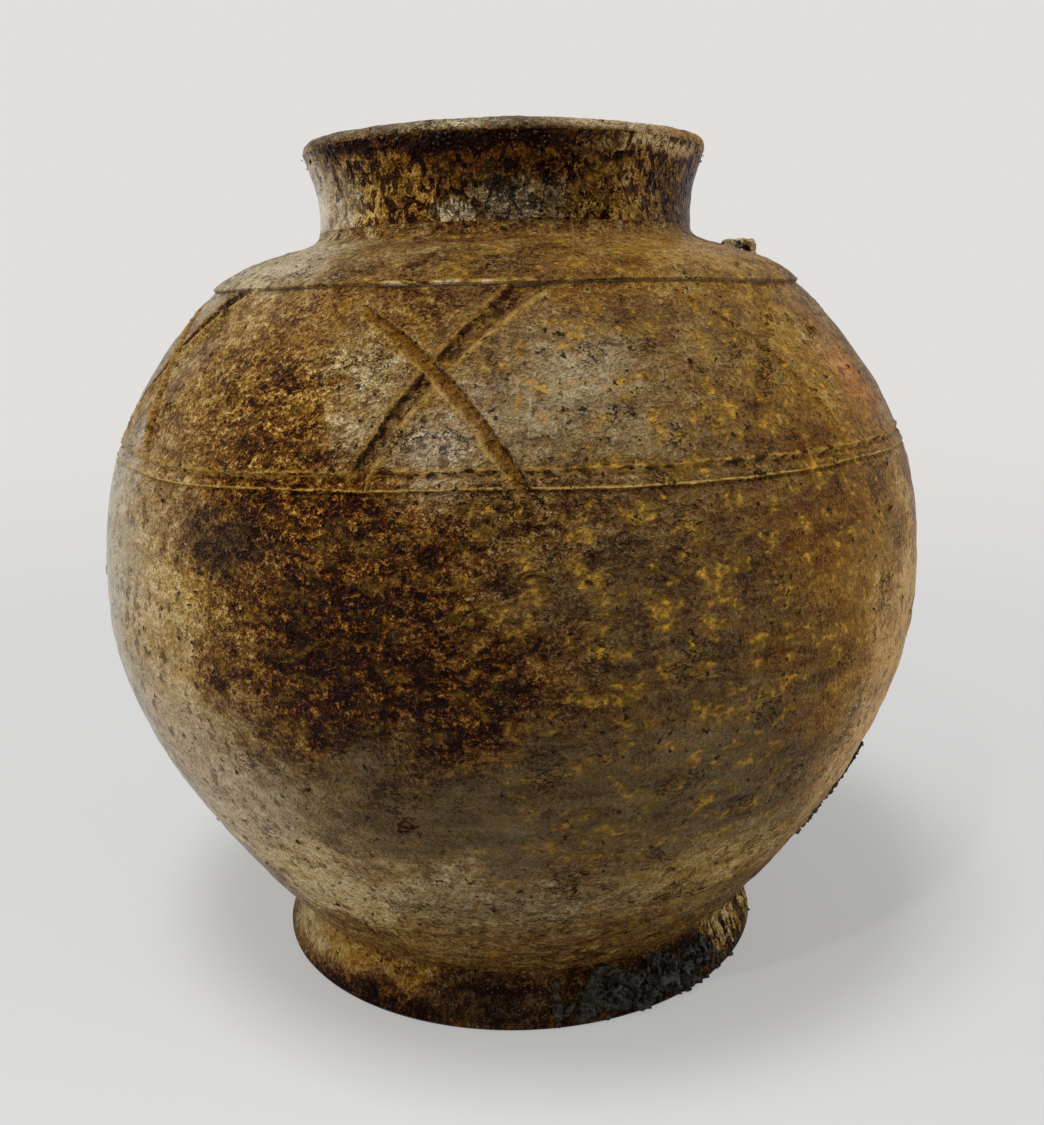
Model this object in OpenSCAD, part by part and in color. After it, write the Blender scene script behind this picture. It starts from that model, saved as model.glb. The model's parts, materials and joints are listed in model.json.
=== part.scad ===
// Martaban jar: a wood-fired stoneware storage jar, built from thrown sections that are
// lapped and luted together. Millimetres, +Z up, origin on the jar's axis at the table.
// The front of the jar looks along -Y. Azimuths are in degrees from the front towards +X.

/* [Belly] */
// Radius of the jar at its widest
belly_r = 150; // [144:1:156]
// Height of the widest line above the table
belly_z = 143; // [136:1:150]
// Thickness of the thrown walls
wall = 8; // [6:0.5:10]

/* [Foot] */
// Radius of the foot ring on the table
foot_r = 94; // [91:1:98]
// Height of the foot ring
foot_h = 19.5; // [16:0.5:24]
// Radius where the belly springs from the foot
waist_r = 88.5; // [86:0.5:90]
// Height of the hollow under the base
recess_h = 12; // [9:1:14]
// Height of the floor of the jar above the table
floor_z = 25; // [24.5:0.5:26]

/* [Shoulder] */
// Radius of the edge of the shoulder cap
edge_r = 105; // [102:1:108]
// Height of the edge of the shoulder cap
edge_z = 247.5; // [245:0.5:249]
// How far the edge of the cap stands out over the belly
edge_step = 1.2; // [0.6:0.2:2]

/* [Neck and lip] */
// Outer radius of the neck at its narrowest
neck_r = 67.5; // [66:0.5:69]
// Radius of the straight throat inside the neck
throat_r = 60; // [58:0.5:61]
// Height of the narrowest place on the outside of the neck
neck_z = 267.5; // [266:0.5:269]
// Radius of the sharp lower edge of the lip
lip_r = 72.5; // [71.5:0.5:74]
// Height of the sharp lower edge of the lip
lip_z = 293.5; // [292:0.5:295]
// Height of the whole jar
jar_h = 298; // [297.5:0.5:299]

/* [Incised ornament] */
// Heights of the two turned lines round the belly
line_z = [197, 192.8]; // [180:0.1:220]
// Widths of the two turned lines
line_w = [3.2, 2.2]; // [1:0.1:4]
// Depth of the turned lines
line_depth = 1; // [0.6:0.1:1.5]
// Azimuths of the crosses, scratched by eye
cross_az = [-62, -9, 39, 90, 142, 194, 246]; // [-180:1:360]
// Height of the middle of each cross
cross_z = 225; // [222:1:228]
// Lean of the broad arm from upright
broad_lean = 36; // [30:1:42]
// Width of the broad arm
broad_w = 5.2; // [3:0.2:6]
// Lean of the thin arm from upright, the other way
thin_lean = 40; // [34:1:46]
// Width of the thin arm
thin_w = 3.4; // [2:0.2:4]
// Depth of the arms of a cross
arm_depth = 1.2; // [0.8:0.1:1.6]

/* [Lug] */
// Azimuth of the cord lug on the shoulder
lug_az = 98; // [80:1:110]
// Distance of the middle of the lug from the axis
lug_r = 89; // [86:1:92]
// Length of the lug, along the slope
lug_len = 14; // [12:1:16]
// Width of the strap of the lug
lug_w = 7; // [5:0.5:9]
// Height of the top of the lug
lug_z = 264.5; // [264:0.5:266]
// Radius of the eye through the lug
eye_r = 1.5; // [1:0.1:1.7]

/* [Kiln crusts] */
// First and last azimuth of the crust on the foot
foot_crust_az = [8, 74]; // [0:1:80]
// First and last azimuth of the crust on the neck
neck_crust_az = [-3, 18]; // [-20:1:40]
// Least and greatest thickness of a crust
crust_t = [0.8, 3]; // [0.6:0.2:3.4]
// Azimuths of the low and the high end of the run of crumbs on the belly
run_az = [58.5, 63.5]; // [50:0.5:80]
// Heights of the low and the high end of the run
run_z = [54, 90]; // [50:1:110]
// Height of the largest crumb above the belly
crumb_h = 1.6; // [1:0.1:2]

/* [Hidden] */

// Facets of a full turn, and steps along each curve of the outline
$fn = 96;
belly_steps = 14;
cap_steps = 8;
neck_steps = 6;
foot_steps = 6;

// Outer radius of the base disc, and of its plug inside the foot ring
base_r = waist_r - wall;
plug_r = base_r - 6;
// Inner radius of the foot ring on the table
foot_in_r = plug_r + 4;
// Bevel at the foot's lower corner
foot_bevel = 1.2;
// Depth of the rebate that the neck stands in, and height of that seat
seat_z = edge_z + 11;
// Height where the straight throat ends and the neck opens
throat_top = neck_z + 9;
// How far along the cap's curve the luting coil round the neck begins
coil_t = 0.62;
// How far along the neck's curve the lip's coil begins
lip_t = 0.8;
// Width and height of the neck's tongue inside the lip's coil
tongue_w = 3.2;
tongue_h = 3.4;
// Swell of the luting coils on the inside of the seams
coil_swell = 3;
// How far each block of crust runs into the next, in degrees
crust_overlap = 0.5;
// Half the width of a crumb, in degrees round the jar
crumb_half = 0.6;

// A cubic curve through p[0] and p[3], at t from 0 to 1
function bez(p, t) = pow(1 - t, 3) * p[0] + 3 * pow(1 - t, 2) * t * p[1]
    + 3 * (1 - t) * t * t * p[2] + pow(t, 3) * p[3];
// Unit tangent of the curve
function along(p, t) = let (d = pow(1 - t, 2) * (p[1] - p[0]) + 2 * (1 - t) * t * (p[2] - p[1])
    + t * t * (p[3] - p[2])) d / norm(d);
// Unit normal towards the inside of the jar, for a curve that climbs
function inward(p, t) = let (u = along(p, t)) [-u.y, u.x];
// Point of the wall at a depth below the outer surface
function skin(p, t, depth) = bez(p, t) + depth * inward(p, t);
// Points of the wall from t0 to t1 at one depth
function run(p, t0, t1, n, depth) = [for (i = [0:n]) skin(p, t0 + (t1 - t0) * i / n, depth)];
// Place on a climbing curve that is at height z
function t_at(p, z, a = 0, b = 1, k = 24) = let (m = (a + b) / 2)
    k == 0 ? m : bez(p, m).y < z ? t_at(p, z, m, b, k - 1) : t_at(p, z, a, m, k - 1);
function polar(r, a) = [r * cos(a), r * sin(a)];

// Outline of the jar, in radius and height, as five curves from the table to the lip
foot_curve = [[foot_r, foot_bevel], [foot_r - 0.8, foot_h * 0.45], [waist_r - 0.6, foot_h * 0.6],
    [waist_r, foot_h]];
lower_curve = [[waist_r, foot_h], [waist_r, foot_h] + polar(28, 46), [belly_r, belly_z - 49],
    [belly_r, belly_z]];
upper_curve = [[belly_r, belly_z], [belly_r, belly_z + 19], [edge_r, edge_z] + polar(62.5, -42.5),
    [edge_r, edge_z]];
cap_start = skin(upper_curve, 1, -edge_step);
cap_curve = [cap_start, cap_start + polar(19, 137.5), [neck_r, neck_z - 7.4], [neck_r, neck_z]];
neck_curve = [[neck_r, neck_z], [neck_r, neck_z + 7.6], [lip_r, lip_z] - polar(13.7, 65),
    [lip_r, lip_z]];

// Last place before the end of the lower and upper curve, where the seams reach inside
lap_t = 1 - 1 / belly_steps;
// Where the cap's straight flank meets the neck under the luting coil
flank = along(cap_curve, coil_t);
flank_start = bez(cap_curve, coil_t);
flank_end = flank_start + flank * (neck_r - flank_start.x) / flank.x;
// Thickness of the cap, so that its inside runs on from the belly's
cap_wall = wall + edge_step;
cap_inner = skin(cap_curve, coil_t, cap_wall);
// Where the lip's coil sits on the neck
lip_seat = bez(neck_curve, lip_t);
lip_in_r = lip_seat.x - wall;

module at_azimuth(a) {
    rotate([0, 0, a - 90]) children();
}

module sector(a0, a1) {
    at_azimuth(a0) rotate_extrude(angle = a1 - a0) children();
}

module foot_ring() {
    color("#4a3018")
    rotate_extrude()
    polygon(concat(
        [[foot_in_r, 0], [foot_r - foot_bevel, 0]],
        run(foot_curve, 0, 1, foot_steps, 0),
        [[plug_r, foot_h], [plug_r, recess_h]]));
}

// The floor of the jar, with a plug that drops into the foot ring
module base_disc() {
    color("#7a5a38")
    rotate_extrude()
    polygon([[0, recess_h], [plug_r, recess_h], [plug_r, foot_h], [base_r, foot_h],
        [base_r, floor_z], [0, floor_z]]);
}

// Lower half of the belly, with its upper edge bevelled down to the inside
module lower_belly() {
    color("#6b4a2a")
    rotate_extrude()
    polygon(concat(
        run(lower_curve, 0, 1, belly_steps, 0),
        run(lower_curve, lap_t, 0, belly_steps - 1, wall),
        [[base_r, floor_z], [base_r, foot_h]]));
}

// A turned line's section, as wide as w where it meets the surface
function line_section(p, t, w, depth) = let (q = bez(p, t), u = along(p, t), n = inward(p, t))
    [q - u * w * 0.75 - n * depth, q - u * w * 0.25 + n * depth,
     q + u * w * 0.25 + n * depth, q + u * w * 0.75 - n * depth];

// Ball that fits the belly where the crosses are, from the upper line to the cap's edge
ball_low = bez(upper_curve, t_at(upper_curve, line_z[0]));
ball_z = (ball_low * ball_low - bez(upper_curve, 1) * bez(upper_curve, 1)) / 2
    / (ball_low.y - edge_z);
ball_r = norm([edge_r, edge_z - ball_z]);
cross_lift = asin((cross_z - ball_z) / ball_r);

// One arm: a groove along a great circle of the ball, reaching down and up from the middle
module arm(lean, w, down, up) {
    rotate([lean, 0, 0]) rotate([90, 0, 0]) rotate([0, 0, -down])
    rotate_extrude(angle = down + up)
    polygon([[ball_r - arm_depth, -w * 0.25], [ball_r + arm_depth, -w * 0.75],
        [ball_r + arm_depth, w * 0.75], [ball_r - arm_depth, w * 0.25]]);
}

module cross(az) {
    at_azimuth(az) translate([0, 0, ball_z]) rotate([0, -cross_lift, 0]) {
        arm(-broad_lean, broad_w, 13, 12.5);
        arm(thin_lean, thin_w, 14.5, 11);
    }
}

// Upper half of the belly, with the turned lines, the crosses and a rebate for the cap
module upper_belly() {
    color("#6e5028")
    difference() {
        rotate_extrude()
        polygon(concat(
            run(upper_curve, 0, 1, belly_steps, 0),
            [skin(upper_curve, 1, wall / 2), skin(upper_curve, lap_t, wall / 2)],
            run(upper_curve, lap_t, 0, belly_steps - 1, wall),
            [skin(lower_curve, lap_t, wall)]));
        for (i = [0:len(line_z) - 1])
            rotate_extrude()
            polygon(line_section(upper_curve, t_at(upper_curve, line_z[i]), line_w[i], line_depth));
        for (az = cross_az) cross(az);
    }
}

// Shoulder, from the overhanging edge to the seat that the neck stands in
module shoulder_cap() {
    color("#7d6236")
    rotate_extrude()
    polygon(concat(
        run(cap_curve, 0, coil_t, cap_steps, 0),
        [flank_end, [neck_r, seat_z], [throat_r, seat_z], [throat_r, cap_inner.y]],
        run(cap_curve, coil_t, 0, cap_steps, cap_wall),
        [skin(upper_curve, lap_t, wall), skin(upper_curve, lap_t, wall / 2),
         skin(upper_curve, 1, wall / 2)]));
}

// Neck, with its foot in the cap's seat and a tongue for the lip's coil
module neck_collar() {
    color("#4d3517")
    rotate_extrude()
    polygon(concat(
        [[throat_r, seat_z], [neck_r, seat_z]],
        run(neck_curve, 0, lip_t, neck_steps, 0),
        [lip_seat - [(wall - tongue_w) / 2, 0], lip_seat + [-(wall - tongue_w) / 2, tongue_h],
         lip_seat + [-(wall + tongue_w) / 2, tongue_h], lip_seat - [(wall + tongue_w) / 2, 0],
         [lip_in_r, lip_seat.y], [throat_r + 0.5, throat_top + 4], [throat_r, throat_top]]));
}

// Lip: a coil pressed down over the neck's tongue, with a rounded top
module rim_coil() {
    // Middle of the lip's rounded top
    top_r = lip_r - 4.2;
    half = 3.2;
    color("#57474a")
    rotate_extrude()
    polygon(concat(
        [lip_seat],
        run(neck_curve, lip_t + 0.1, 1, 1, 0),
        [for (a = [15:30:165]) [top_r, jar_h - half] + [half * cos(a), half * sin(a)]
            + [0, half * (1 - sin(75)) * sin(a)]],
        [[lip_in_r + 0.6, lip_z - 1.5], [lip_in_r, lip_seat.y],
         lip_seat - [(wall + tongue_w) / 2, 0], lip_seat + [-(wall + tongue_w) / 2, tongue_h],
         lip_seat + [-(wall - tongue_w) / 2, tongue_h], lip_seat - [(wall - tongue_w) / 2, 0]]));
}

// Coil pressed into the corner between the floor and the wall
module base_seam_coil() {
    coil_t1 = 2 / belly_steps;
    top = skin(lower_curve, coil_t1, wall);
    corner = skin(lower_curve, 0, wall);
    span = 9;
    color("#8a6a48")
    rotate_extrude()
    polygon(concat(
        [[base_r - span, floor_z], [base_r, floor_z]],
        run(lower_curve, 0, coil_t1, 2, wall),
        [for (s = [0.25:0.25:0.75]) (1 - s) * (1 - s) * top + 2 * s * (1 - s) * corner
            + s * s * [base_r - span, floor_z]]));
}

// Coil smoothed over the bevelled seam at the widest line
module belly_seam_coil() {
    low_t = 1 - 3 / belly_steps;
    high_t = 2 / belly_steps;
    color("#8a6a48")
    rotate_extrude()
    polygon(concat(
        run(lower_curve, low_t, 1, 3, wall),
        run(upper_curve, 1 / belly_steps, high_t, 1, wall),
        [skin(upper_curve, 1 / belly_steps, wall + coil_swell * 0.6),
         skin(upper_curve, 0, wall + coil_swell),
         skin(lower_curve, lap_t, wall + coil_swell),
         skin(lower_curve, 1 - 2 / belly_steps, wall + coil_swell * 0.6)]));
}

// Coil smoothed over the lap between the belly and the cap
module shoulder_seam_coil() {
    low_t = 1 - 3 / belly_steps;
    high_t = coil_t * 2 / cap_steps;
    color("#8a6a48")
    rotate_extrude()
    polygon(concat(
        run(upper_curve, low_t, lap_t, 2, wall),
        run(cap_curve, 0, high_t, 2, cap_wall),
        [skin(cap_curve, high_t / 2, cap_wall + coil_swell * 0.7),
         skin(cap_curve, 0, cap_wall + coil_swell),
         skin(upper_curve, lap_t, wall + coil_swell),
         skin(upper_curve, 1 - 2 / belly_steps, wall + coil_swell * 0.7)]));
}

// Coil smoothed into the outer corner between the cap and the neck
module neck_seam_coil() {
    color("#6e5a30")
    rotate_extrude()
    polygon(concat([flank_end], run(cap_curve, coil_t, 1, cap_steps, 0)));
}

// Everything inside the cap's outer surface, to cut what sits on it
module cap_envelope() {
    rotate_extrude()
    polygon(concat(run(cap_curve, 0, coil_t, cap_steps, 0), [flank_end, [1, flank_end.y],
        [1, cap_start.y]]));
}

// Strap lug: its long side runs down the slope and its eye lies across it
module shoulder_lug() {
    inner_round = 2;
    outer_round = 3;
    half = lug_len / 2;
    // Centre of the eye, out from the middle of the lug and down from its top, so that the
    // whole eye is clear of the shoulder
    eye = [1.7, -5.4];
    // The lug is cut off just inside the cap's surface, and then trimmed to it
    root = cap_start.y - lug_z + 0.5;
    color("#8a7040")
    difference() {
        at_azimuth(lug_az) translate([lug_r, 0, lug_z]) rotate([90, 0, 0])
        difference() {
            translate([0, 0, -lug_w / 2])
            linear_extrude(lug_w)
            polygon(concat(
                [[-half, root], [half, root]],
                [for (a = [0:22.5:90]) [half - outer_round, -outer_round] + polar(outer_round, a)],
                [for (a = [90:22.5:180]) [inner_round - half, -inner_round]
                    + polar(inner_round, a)]));
            translate([eye.x, eye.y, -lug_w])
            cylinder(r = eye_r, h = 2 * lug_w);
        }
        cap_envelope();
    }
}

// Thickness of a crust at step i of n, rising and falling along its length
function crust_at(i, n) = crust_t[0] + (crust_t[1] - crust_t[0])
    * (0.6 + 0.4 * sin(i * 137)) * sin(180 * (i + 0.5) / n);

// Blocks of crust round the jar, bulging from the facets of the curve behind them, which are
// t_step apart. They begin and end at facet first and last
module crust(p, t_step, first, last, az, n) {
    step = (az[1] - az[0]) / n;
    for (i = [0:n - 1])
        sector(az[0] + i * step, min(az[0] + (i + 1) * step + crust_overlap, az[1]))
        polygon(concat(
            [for (k = [last:-1:first]) bez(p, k * t_step)],
            [for (k = [first + 0.3, (first + last) / 2, last - 0.4])
                skin(p, k * t_step, -crust_at(i, n))]));
}

module foot_crust() {
    color("#1d1b1a")
    crust(foot_curve, 1 / foot_steps, 0, foot_steps - 1, foot_crust_az, 9);
}

module neck_crust() {
    color("#2a211d")
    crust(neck_curve, lip_t / neck_steps, 0, 4, neck_crust_az, 5);
}

// A drip that froze as a broken line of crumbs, two on each facet of the belly behind it
module belly_crumbs() {
    first = floor(t_at(lower_curve, run_z[0]) * belly_steps);
    last = floor(t_at(lower_curve, run_z[1]) * belly_steps);
    color("#151312")
    for (i = [first:last], half = [0, 1]) {
        low = bez(lower_curve, i / belly_steps);
        high = bez(lower_curve, (i + 1) / belly_steps);
        out = -inward(lower_curve, (i + 0.5) / belly_steps);
        a = low + (high - low) * (0.06 + 0.5 * half);
        b = low + (high - low) * (0.34 + 0.5 * half + 0.08 * sin(i * 97));
        h = crumb_h * (0.75 + 0.25 * sin(i * 61 + half * 140));
        at = (a.y - run_z[0]) / (run_z[1] - run_z[0]);
        az = run_az[0] + (run_az[1] - run_az[0]) * at + 0.3 * sin(i * 131 + half * 80);
        sector(az - crumb_half, az + crumb_half)
        polygon([a, a + (b - a) * 0.15 + out * h * 0.7, a + (b - a) * 0.5 + out * h,
            b - (b - a) * 0.2 + out * h * 0.6, b]);
    }
}

foot_ring();
base_disc();
lower_belly();
upper_belly();
shoulder_cap();
neck_collar();
rim_coil();
base_seam_coil();
belly_seam_coil();
shoulder_seam_coil();
neck_seam_coil();
shoulder_lug();
foot_crust();
neck_crust();
belly_crumbs();
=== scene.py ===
"""Martaban jar: a wood-fired stoneware storage jar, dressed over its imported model.

Lengths are in metres. Azimuths are in degrees from the front, -Y, towards +X.
"""
import json
from math import radians

import bmesh
import bpy
import numpy as np
from bpy.props import FloatProperty, FloatVectorProperty, PointerProperty
from mathutils import Matrix, Vector


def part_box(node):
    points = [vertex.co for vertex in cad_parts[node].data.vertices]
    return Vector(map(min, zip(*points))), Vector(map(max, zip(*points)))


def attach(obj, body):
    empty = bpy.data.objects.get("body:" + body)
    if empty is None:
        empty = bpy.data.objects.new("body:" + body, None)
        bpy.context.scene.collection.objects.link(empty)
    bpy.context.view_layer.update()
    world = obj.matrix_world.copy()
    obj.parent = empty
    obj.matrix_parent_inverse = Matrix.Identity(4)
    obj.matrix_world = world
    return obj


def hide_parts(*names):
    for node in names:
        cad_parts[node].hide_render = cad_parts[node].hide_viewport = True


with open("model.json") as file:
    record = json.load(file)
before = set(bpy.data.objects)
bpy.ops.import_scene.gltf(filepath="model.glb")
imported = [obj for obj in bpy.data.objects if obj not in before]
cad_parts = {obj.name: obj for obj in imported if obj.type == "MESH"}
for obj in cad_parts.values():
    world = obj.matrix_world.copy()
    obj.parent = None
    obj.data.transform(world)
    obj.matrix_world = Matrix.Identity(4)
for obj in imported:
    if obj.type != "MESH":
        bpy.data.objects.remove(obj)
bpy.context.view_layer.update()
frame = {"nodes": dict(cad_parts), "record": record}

bl_info = {
    "name": "Martaban jar",
    "version": (1, 0, 0),
    "blender": (4, 5, 0),
    "location": "3D View > Sidebar > Jar",
    "description": "Builds a wood-fired storage jar with its glaze, ornament and stage",
    "category": "Object",
}

MM = 0.001
BODY = "root"

# Lumps and waves of the hand-made wall
WAVE_COUNT = 18
# Columns round every turned piece, so that the pieces meet point to point
COLUMNS = 800
# What the glaze zones set, in their order
GLAZE_MARKS = ("tone", "gloss", "crisp", "red", "grey", "fleck")
# Place along the neck's curve where the lip's coil is pressed on
LIP_SEAT = 0.8
# Height over which the cap's edge rises and falls round the jar
EDGE_WAVE = 0.8 * MM

# Crosses: azimuth, height, lean of the broad arm, lean of the thin arm, strength
CROSSES = [
    (-62, 227, 34, 38, 1.0),
    (-8.6, 224, 35, 43, 1.0),
    (38.5, 227, 36, 38, 0.45),
    (90, 225, 35, 40, 0.9),
    (142, 225, 38, 39, 0.9),
    (194, 225, 34, 41, 0.9),
    (246, 225, 37, 40, 0.9),
]

# Glaze zones: name, azimuth, height, half width in degrees, half height in millimetres, and what
# the glaze becomes there: tone from dark to pale, gloss, crispness of its specks, redness,
# greyness and how much ochre flecks it
ZONES = [
    ("right side", 22, 150, 60, 110, 0.39, 0.35, 0.05, 0.00, 0.50, 0.90),
    ("left side", -75, 150, 42, 120, 0.62, 0.50, 0.20, 0.10, 0.45, 0.10),
    # Left rim: pale grey ash, made paler still with painted sheen of the bright surroundings at the grazing edge
    ("left rim ash and sheen", -64, 135, 19, 120, 0.76, 1.00, 0.12, 0.05, 1.00, 0.00),
    ("left band", -44, 219, 20, 26, 0.58, 0.50, 0.50, 0.05, 0.05, 0.20),
    ("left tan", -42, 143, 13, 34, 0.83, 0.55, 0.20, 0.04, 0.36, 0.30),
    ("left grey", -42, 98, 20, 32, 0.84, 0.45, 0.15, 0.20, 0.95, 0.05),
    ("low left tan", -26, 62, 23, 22, 0.98, 0.40, 0.36, 0.05, 0.42, 0.10),
    ("yellow patch", -37, 160, 8, 9, 0.93, 0.50, 0.20, 0.00, 0.20, 0.60),
    ("dark gloss", -14, 150, 20, 42, 0.01, 0.60, 1.00, 0.15, -0.25, 0.10),
    ("dark shoulder", -24, 186, 14, 15, 0.24, 0.60, 1.00, 0.20, -0.20, 0.20),
    ("amber shoulder", -28, 214, 10, 16, 0.31, 0.60, 1.00, 0.15, -0.20, 0.30),
    ("green patch", -34, 180, 7, 10, 0.20, 0.35, 0.50, 0.00, 0.50, 0.05),
    ("middle", 3, 176, 14, 26, 0.36, 0.50, 0.70, 0.05, 0.30, 0.60),
    ("brown middle", 14, 160, 14, 30, 0.31, 0.40, 0.15, 0.00, 0.50, 0.85),
    ("low middle", -4, 100, 26, 24, 0.37, 0.30, 0.04, 0.17, 1.00, 0.12),
    ("low right", 26, 100, 22, 36, 0.38, 0.25, 0.05, 0.00, 0.75, 0.65),
    ("low right tan", 30, 66, 20, 16, 0.72, 0.25, 0.25, 0.00, 0.18, 0.50),
    ("left of the cross", -17, 222, 6, 14, 0.70, 0.60, 0.45, 0.00, 0.42, 0.20),
    ("low centre", -2, 62, 18, 15, 0.55, 0.25, 0.45, 0.10, 0.75, 0.25),
    # Grey triangle: grey ash, made paler with painted sheen of the light from above
    ("grey triangle ash and sheen", -7, 207, 10, 13, 0.71, 0.68, 0.45, 0.15, 0.90, 0.10),
    ("grey field", 7, 220, 14, 20, 0.66, 0.72, 0.20, 0.12, 0.95, 0.60),
    ("right band", 30, 224, 16, 24, 0.49, 0.35, 0.12, 0.00, 0.45, 0.80),
    ("far right band", 48, 226, 12, 24, 0.63, 0.30, 0.10, 0.00, 0.00, 1.00),
    ("far right", 44, 160, 14, 46, 0.43, 0.35, 0.05, 0.00, -0.20, 1.00),
    ("low right edge", 53, 90, 9, 28, 0.71, 0.30, 0.40, 0.20, 0.45, 0.30),
    # Right edge: pink-tan glaze, made paler with painted sheen of the light from the right
    ("right edge", 62, 128, 15, 55, 1.04, 0.30, 0.35, 0.42, -0.20, 0.10),
    ("red patch", 57, 216, 6.5, 15, 0.70, 0.20, 0.10, 0.75, 0.25, 0.00),
    # Left shoulder: grey ash, made paler with painted sheen of the light from above
    ("left shoulder", -50, 255, 26, 9, 0.80, 0.45, 0.20, 0.03, 1.00, 0.10),
    ("olive shoulder", -4, 255, 26, 8, 0.39, 0.40, 0.30, 0.00, 0.35, 0.50),
    ("right shoulder", 42, 255, 30, 10, 0.61, 0.35, 0.15, 0.00, 0.05, 0.60),
    ("back", 172, 120, 60, 80, 0.30, 0.60, 0.80, 0.15, 0.10, 0.30),
    ("back band", 130, 205, 40, 36, 0.48, 0.40, 0.40, 0.05, 0.30, 0.50),
    ("back flecks", 118, 125, 18, 50, 0.40, 0.35, 0.10, 0.00, 0.40, 0.90),
    ("back dark run", 150, 150, 15, 58, 0.12, 0.60, 0.90, 0.10, -0.10, 0.20),
    ("back amber", 196, 160, 17, 36, 0.45, 0.60, 0.90, 0.05, 0.00, 0.60),
    ("back tan", 228, 112, 22, 45, 0.68, 0.40, 0.30, 0.05, 0.60, 0.20),
    ("back cross field", 192, 222, 24, 19, 0.58, 0.40, 0.40, 0.10, 0.80, 0.20),
    ("back low grey", 176, 64, 34, 18, 0.62, 0.30, 0.40, 0.05, 0.80, 0.10),
    ("back shoulder", 168, 254, 46, 10, 0.56, 0.40, 0.25, 0.03, 0.45, 0.40),
]

NECK_ZONES = [
    # Left of the neck: pale grey ash with painted sheen at the grazing edge
    ("grey left ash and sheen", -76, 276, 33, 18, 1.00, 1.00, 0.03, 0.06, 0.95, 0.00),
    ("amber", -31, 277, 18, 13, 0.73, 0.60, 0.30, 0.05, -0.40, 0.30),
    ("dark middle", -4, 283, 22, 9, 0.30, 0.60, 0.30, 0.10, -0.20, 0.15),
    # Black glaze under the lip's edge, darkened further by painted shadow of the lip
    ("black glaze and shadow under lip", -2, 291, 46, 3, 0.04, 0.60, 0.60, 0.10, 0.00, 0.00),
    ("crust ground", 6, 273, 16, 8, 0.66, 0.80, 0.50, 0.00, 1.00, 0.10),
    ("white ash", -13, 271, 8, 3.6, 1.05, 0.30, 0.70, 0.00, 0.85, 0.00),
    ("olive right", 42, 275, 26, 12, 0.60, 0.60, 0.25, 0.05, 0.00, 0.70),
    ("pale under lip", 50, 291, 24, 3.2, 1.00, 0.40, 0.20, 0.20, 0.60, 0.10),
    ("back amber", 185, 275, 36, 12, 0.54, 0.60, 0.50, 0.05, 0.00, 0.50),
    ("back dark", 138, 284, 24, 10, 0.16, 0.60, 0.60, 0.10, -0.20, 0.15),
    ("red end", 76, 286, 10, 10, 0.36, 0.40, 0.50, 0.60, 0.10, 0.00),
]

FOOT_ZONES = [
    ("left", -60, 12, 20, 8, 0.75, 0.60, 0.10, 0.00, 0.45, 0.10),
    ("amber cove", -42, 14, 14, 4.5, 0.60, 0.60, 0.12, 0.00, -0.10, 0.30),
    ("black edge", -35, 3, 28, 4.5, -0.05, 0.60, 0.70, 0.05, 0.00, 0.00),
    ("middle", -5, 8, 20, 9, 0.10, 0.60, 0.40, 0.00, 0.60, 0.05),
    ("charred", 34, 10, 34, 13, 0.05, 0.35, 0.50, 0.00, 0.30, 0.03),
    ("right cove", 60, 18, 14, 4, 0.60, 0.60, 0.60, 0.00, 0.10, 0.30),
    ("back tan", 205, 14, 42, 8, 0.56, 0.60, 0.50, 0.00, 0.20, 0.20),
    ("back dark", 140, 6, 30, 6, 0.10, 0.60, 0.60, 0.05, 0.00, 0.10),
]

LIP_ZONES = [
    ("purple left", -60, 295, 22, 6, 0.54, 0.75, 0.12, 0.08, 0.95, 0.00),
    ("purple middle", -10, 295, 40, 6, 0.46, 0.85, 0.15, 0.00, 1.00, 0.00),
    ("white ash", -13, 296, 9, 3, 0.82, 0.20, 0.60, 0.00, 0.95, 0.00),
    ("purple right", 34, 295, 24, 6, 0.86, 0.30, 0.20, 0.15, 0.85, 0.05),
    ("back", 180, 295, 70, 6, 0.50, 0.30, 0.20, 0.15, 0.90, 0.00),
    ("rusty end", 66, 295, 18, 6, 0.74, 0.45, 0.20, 0.35, 0.25, 0.10),
]


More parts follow.
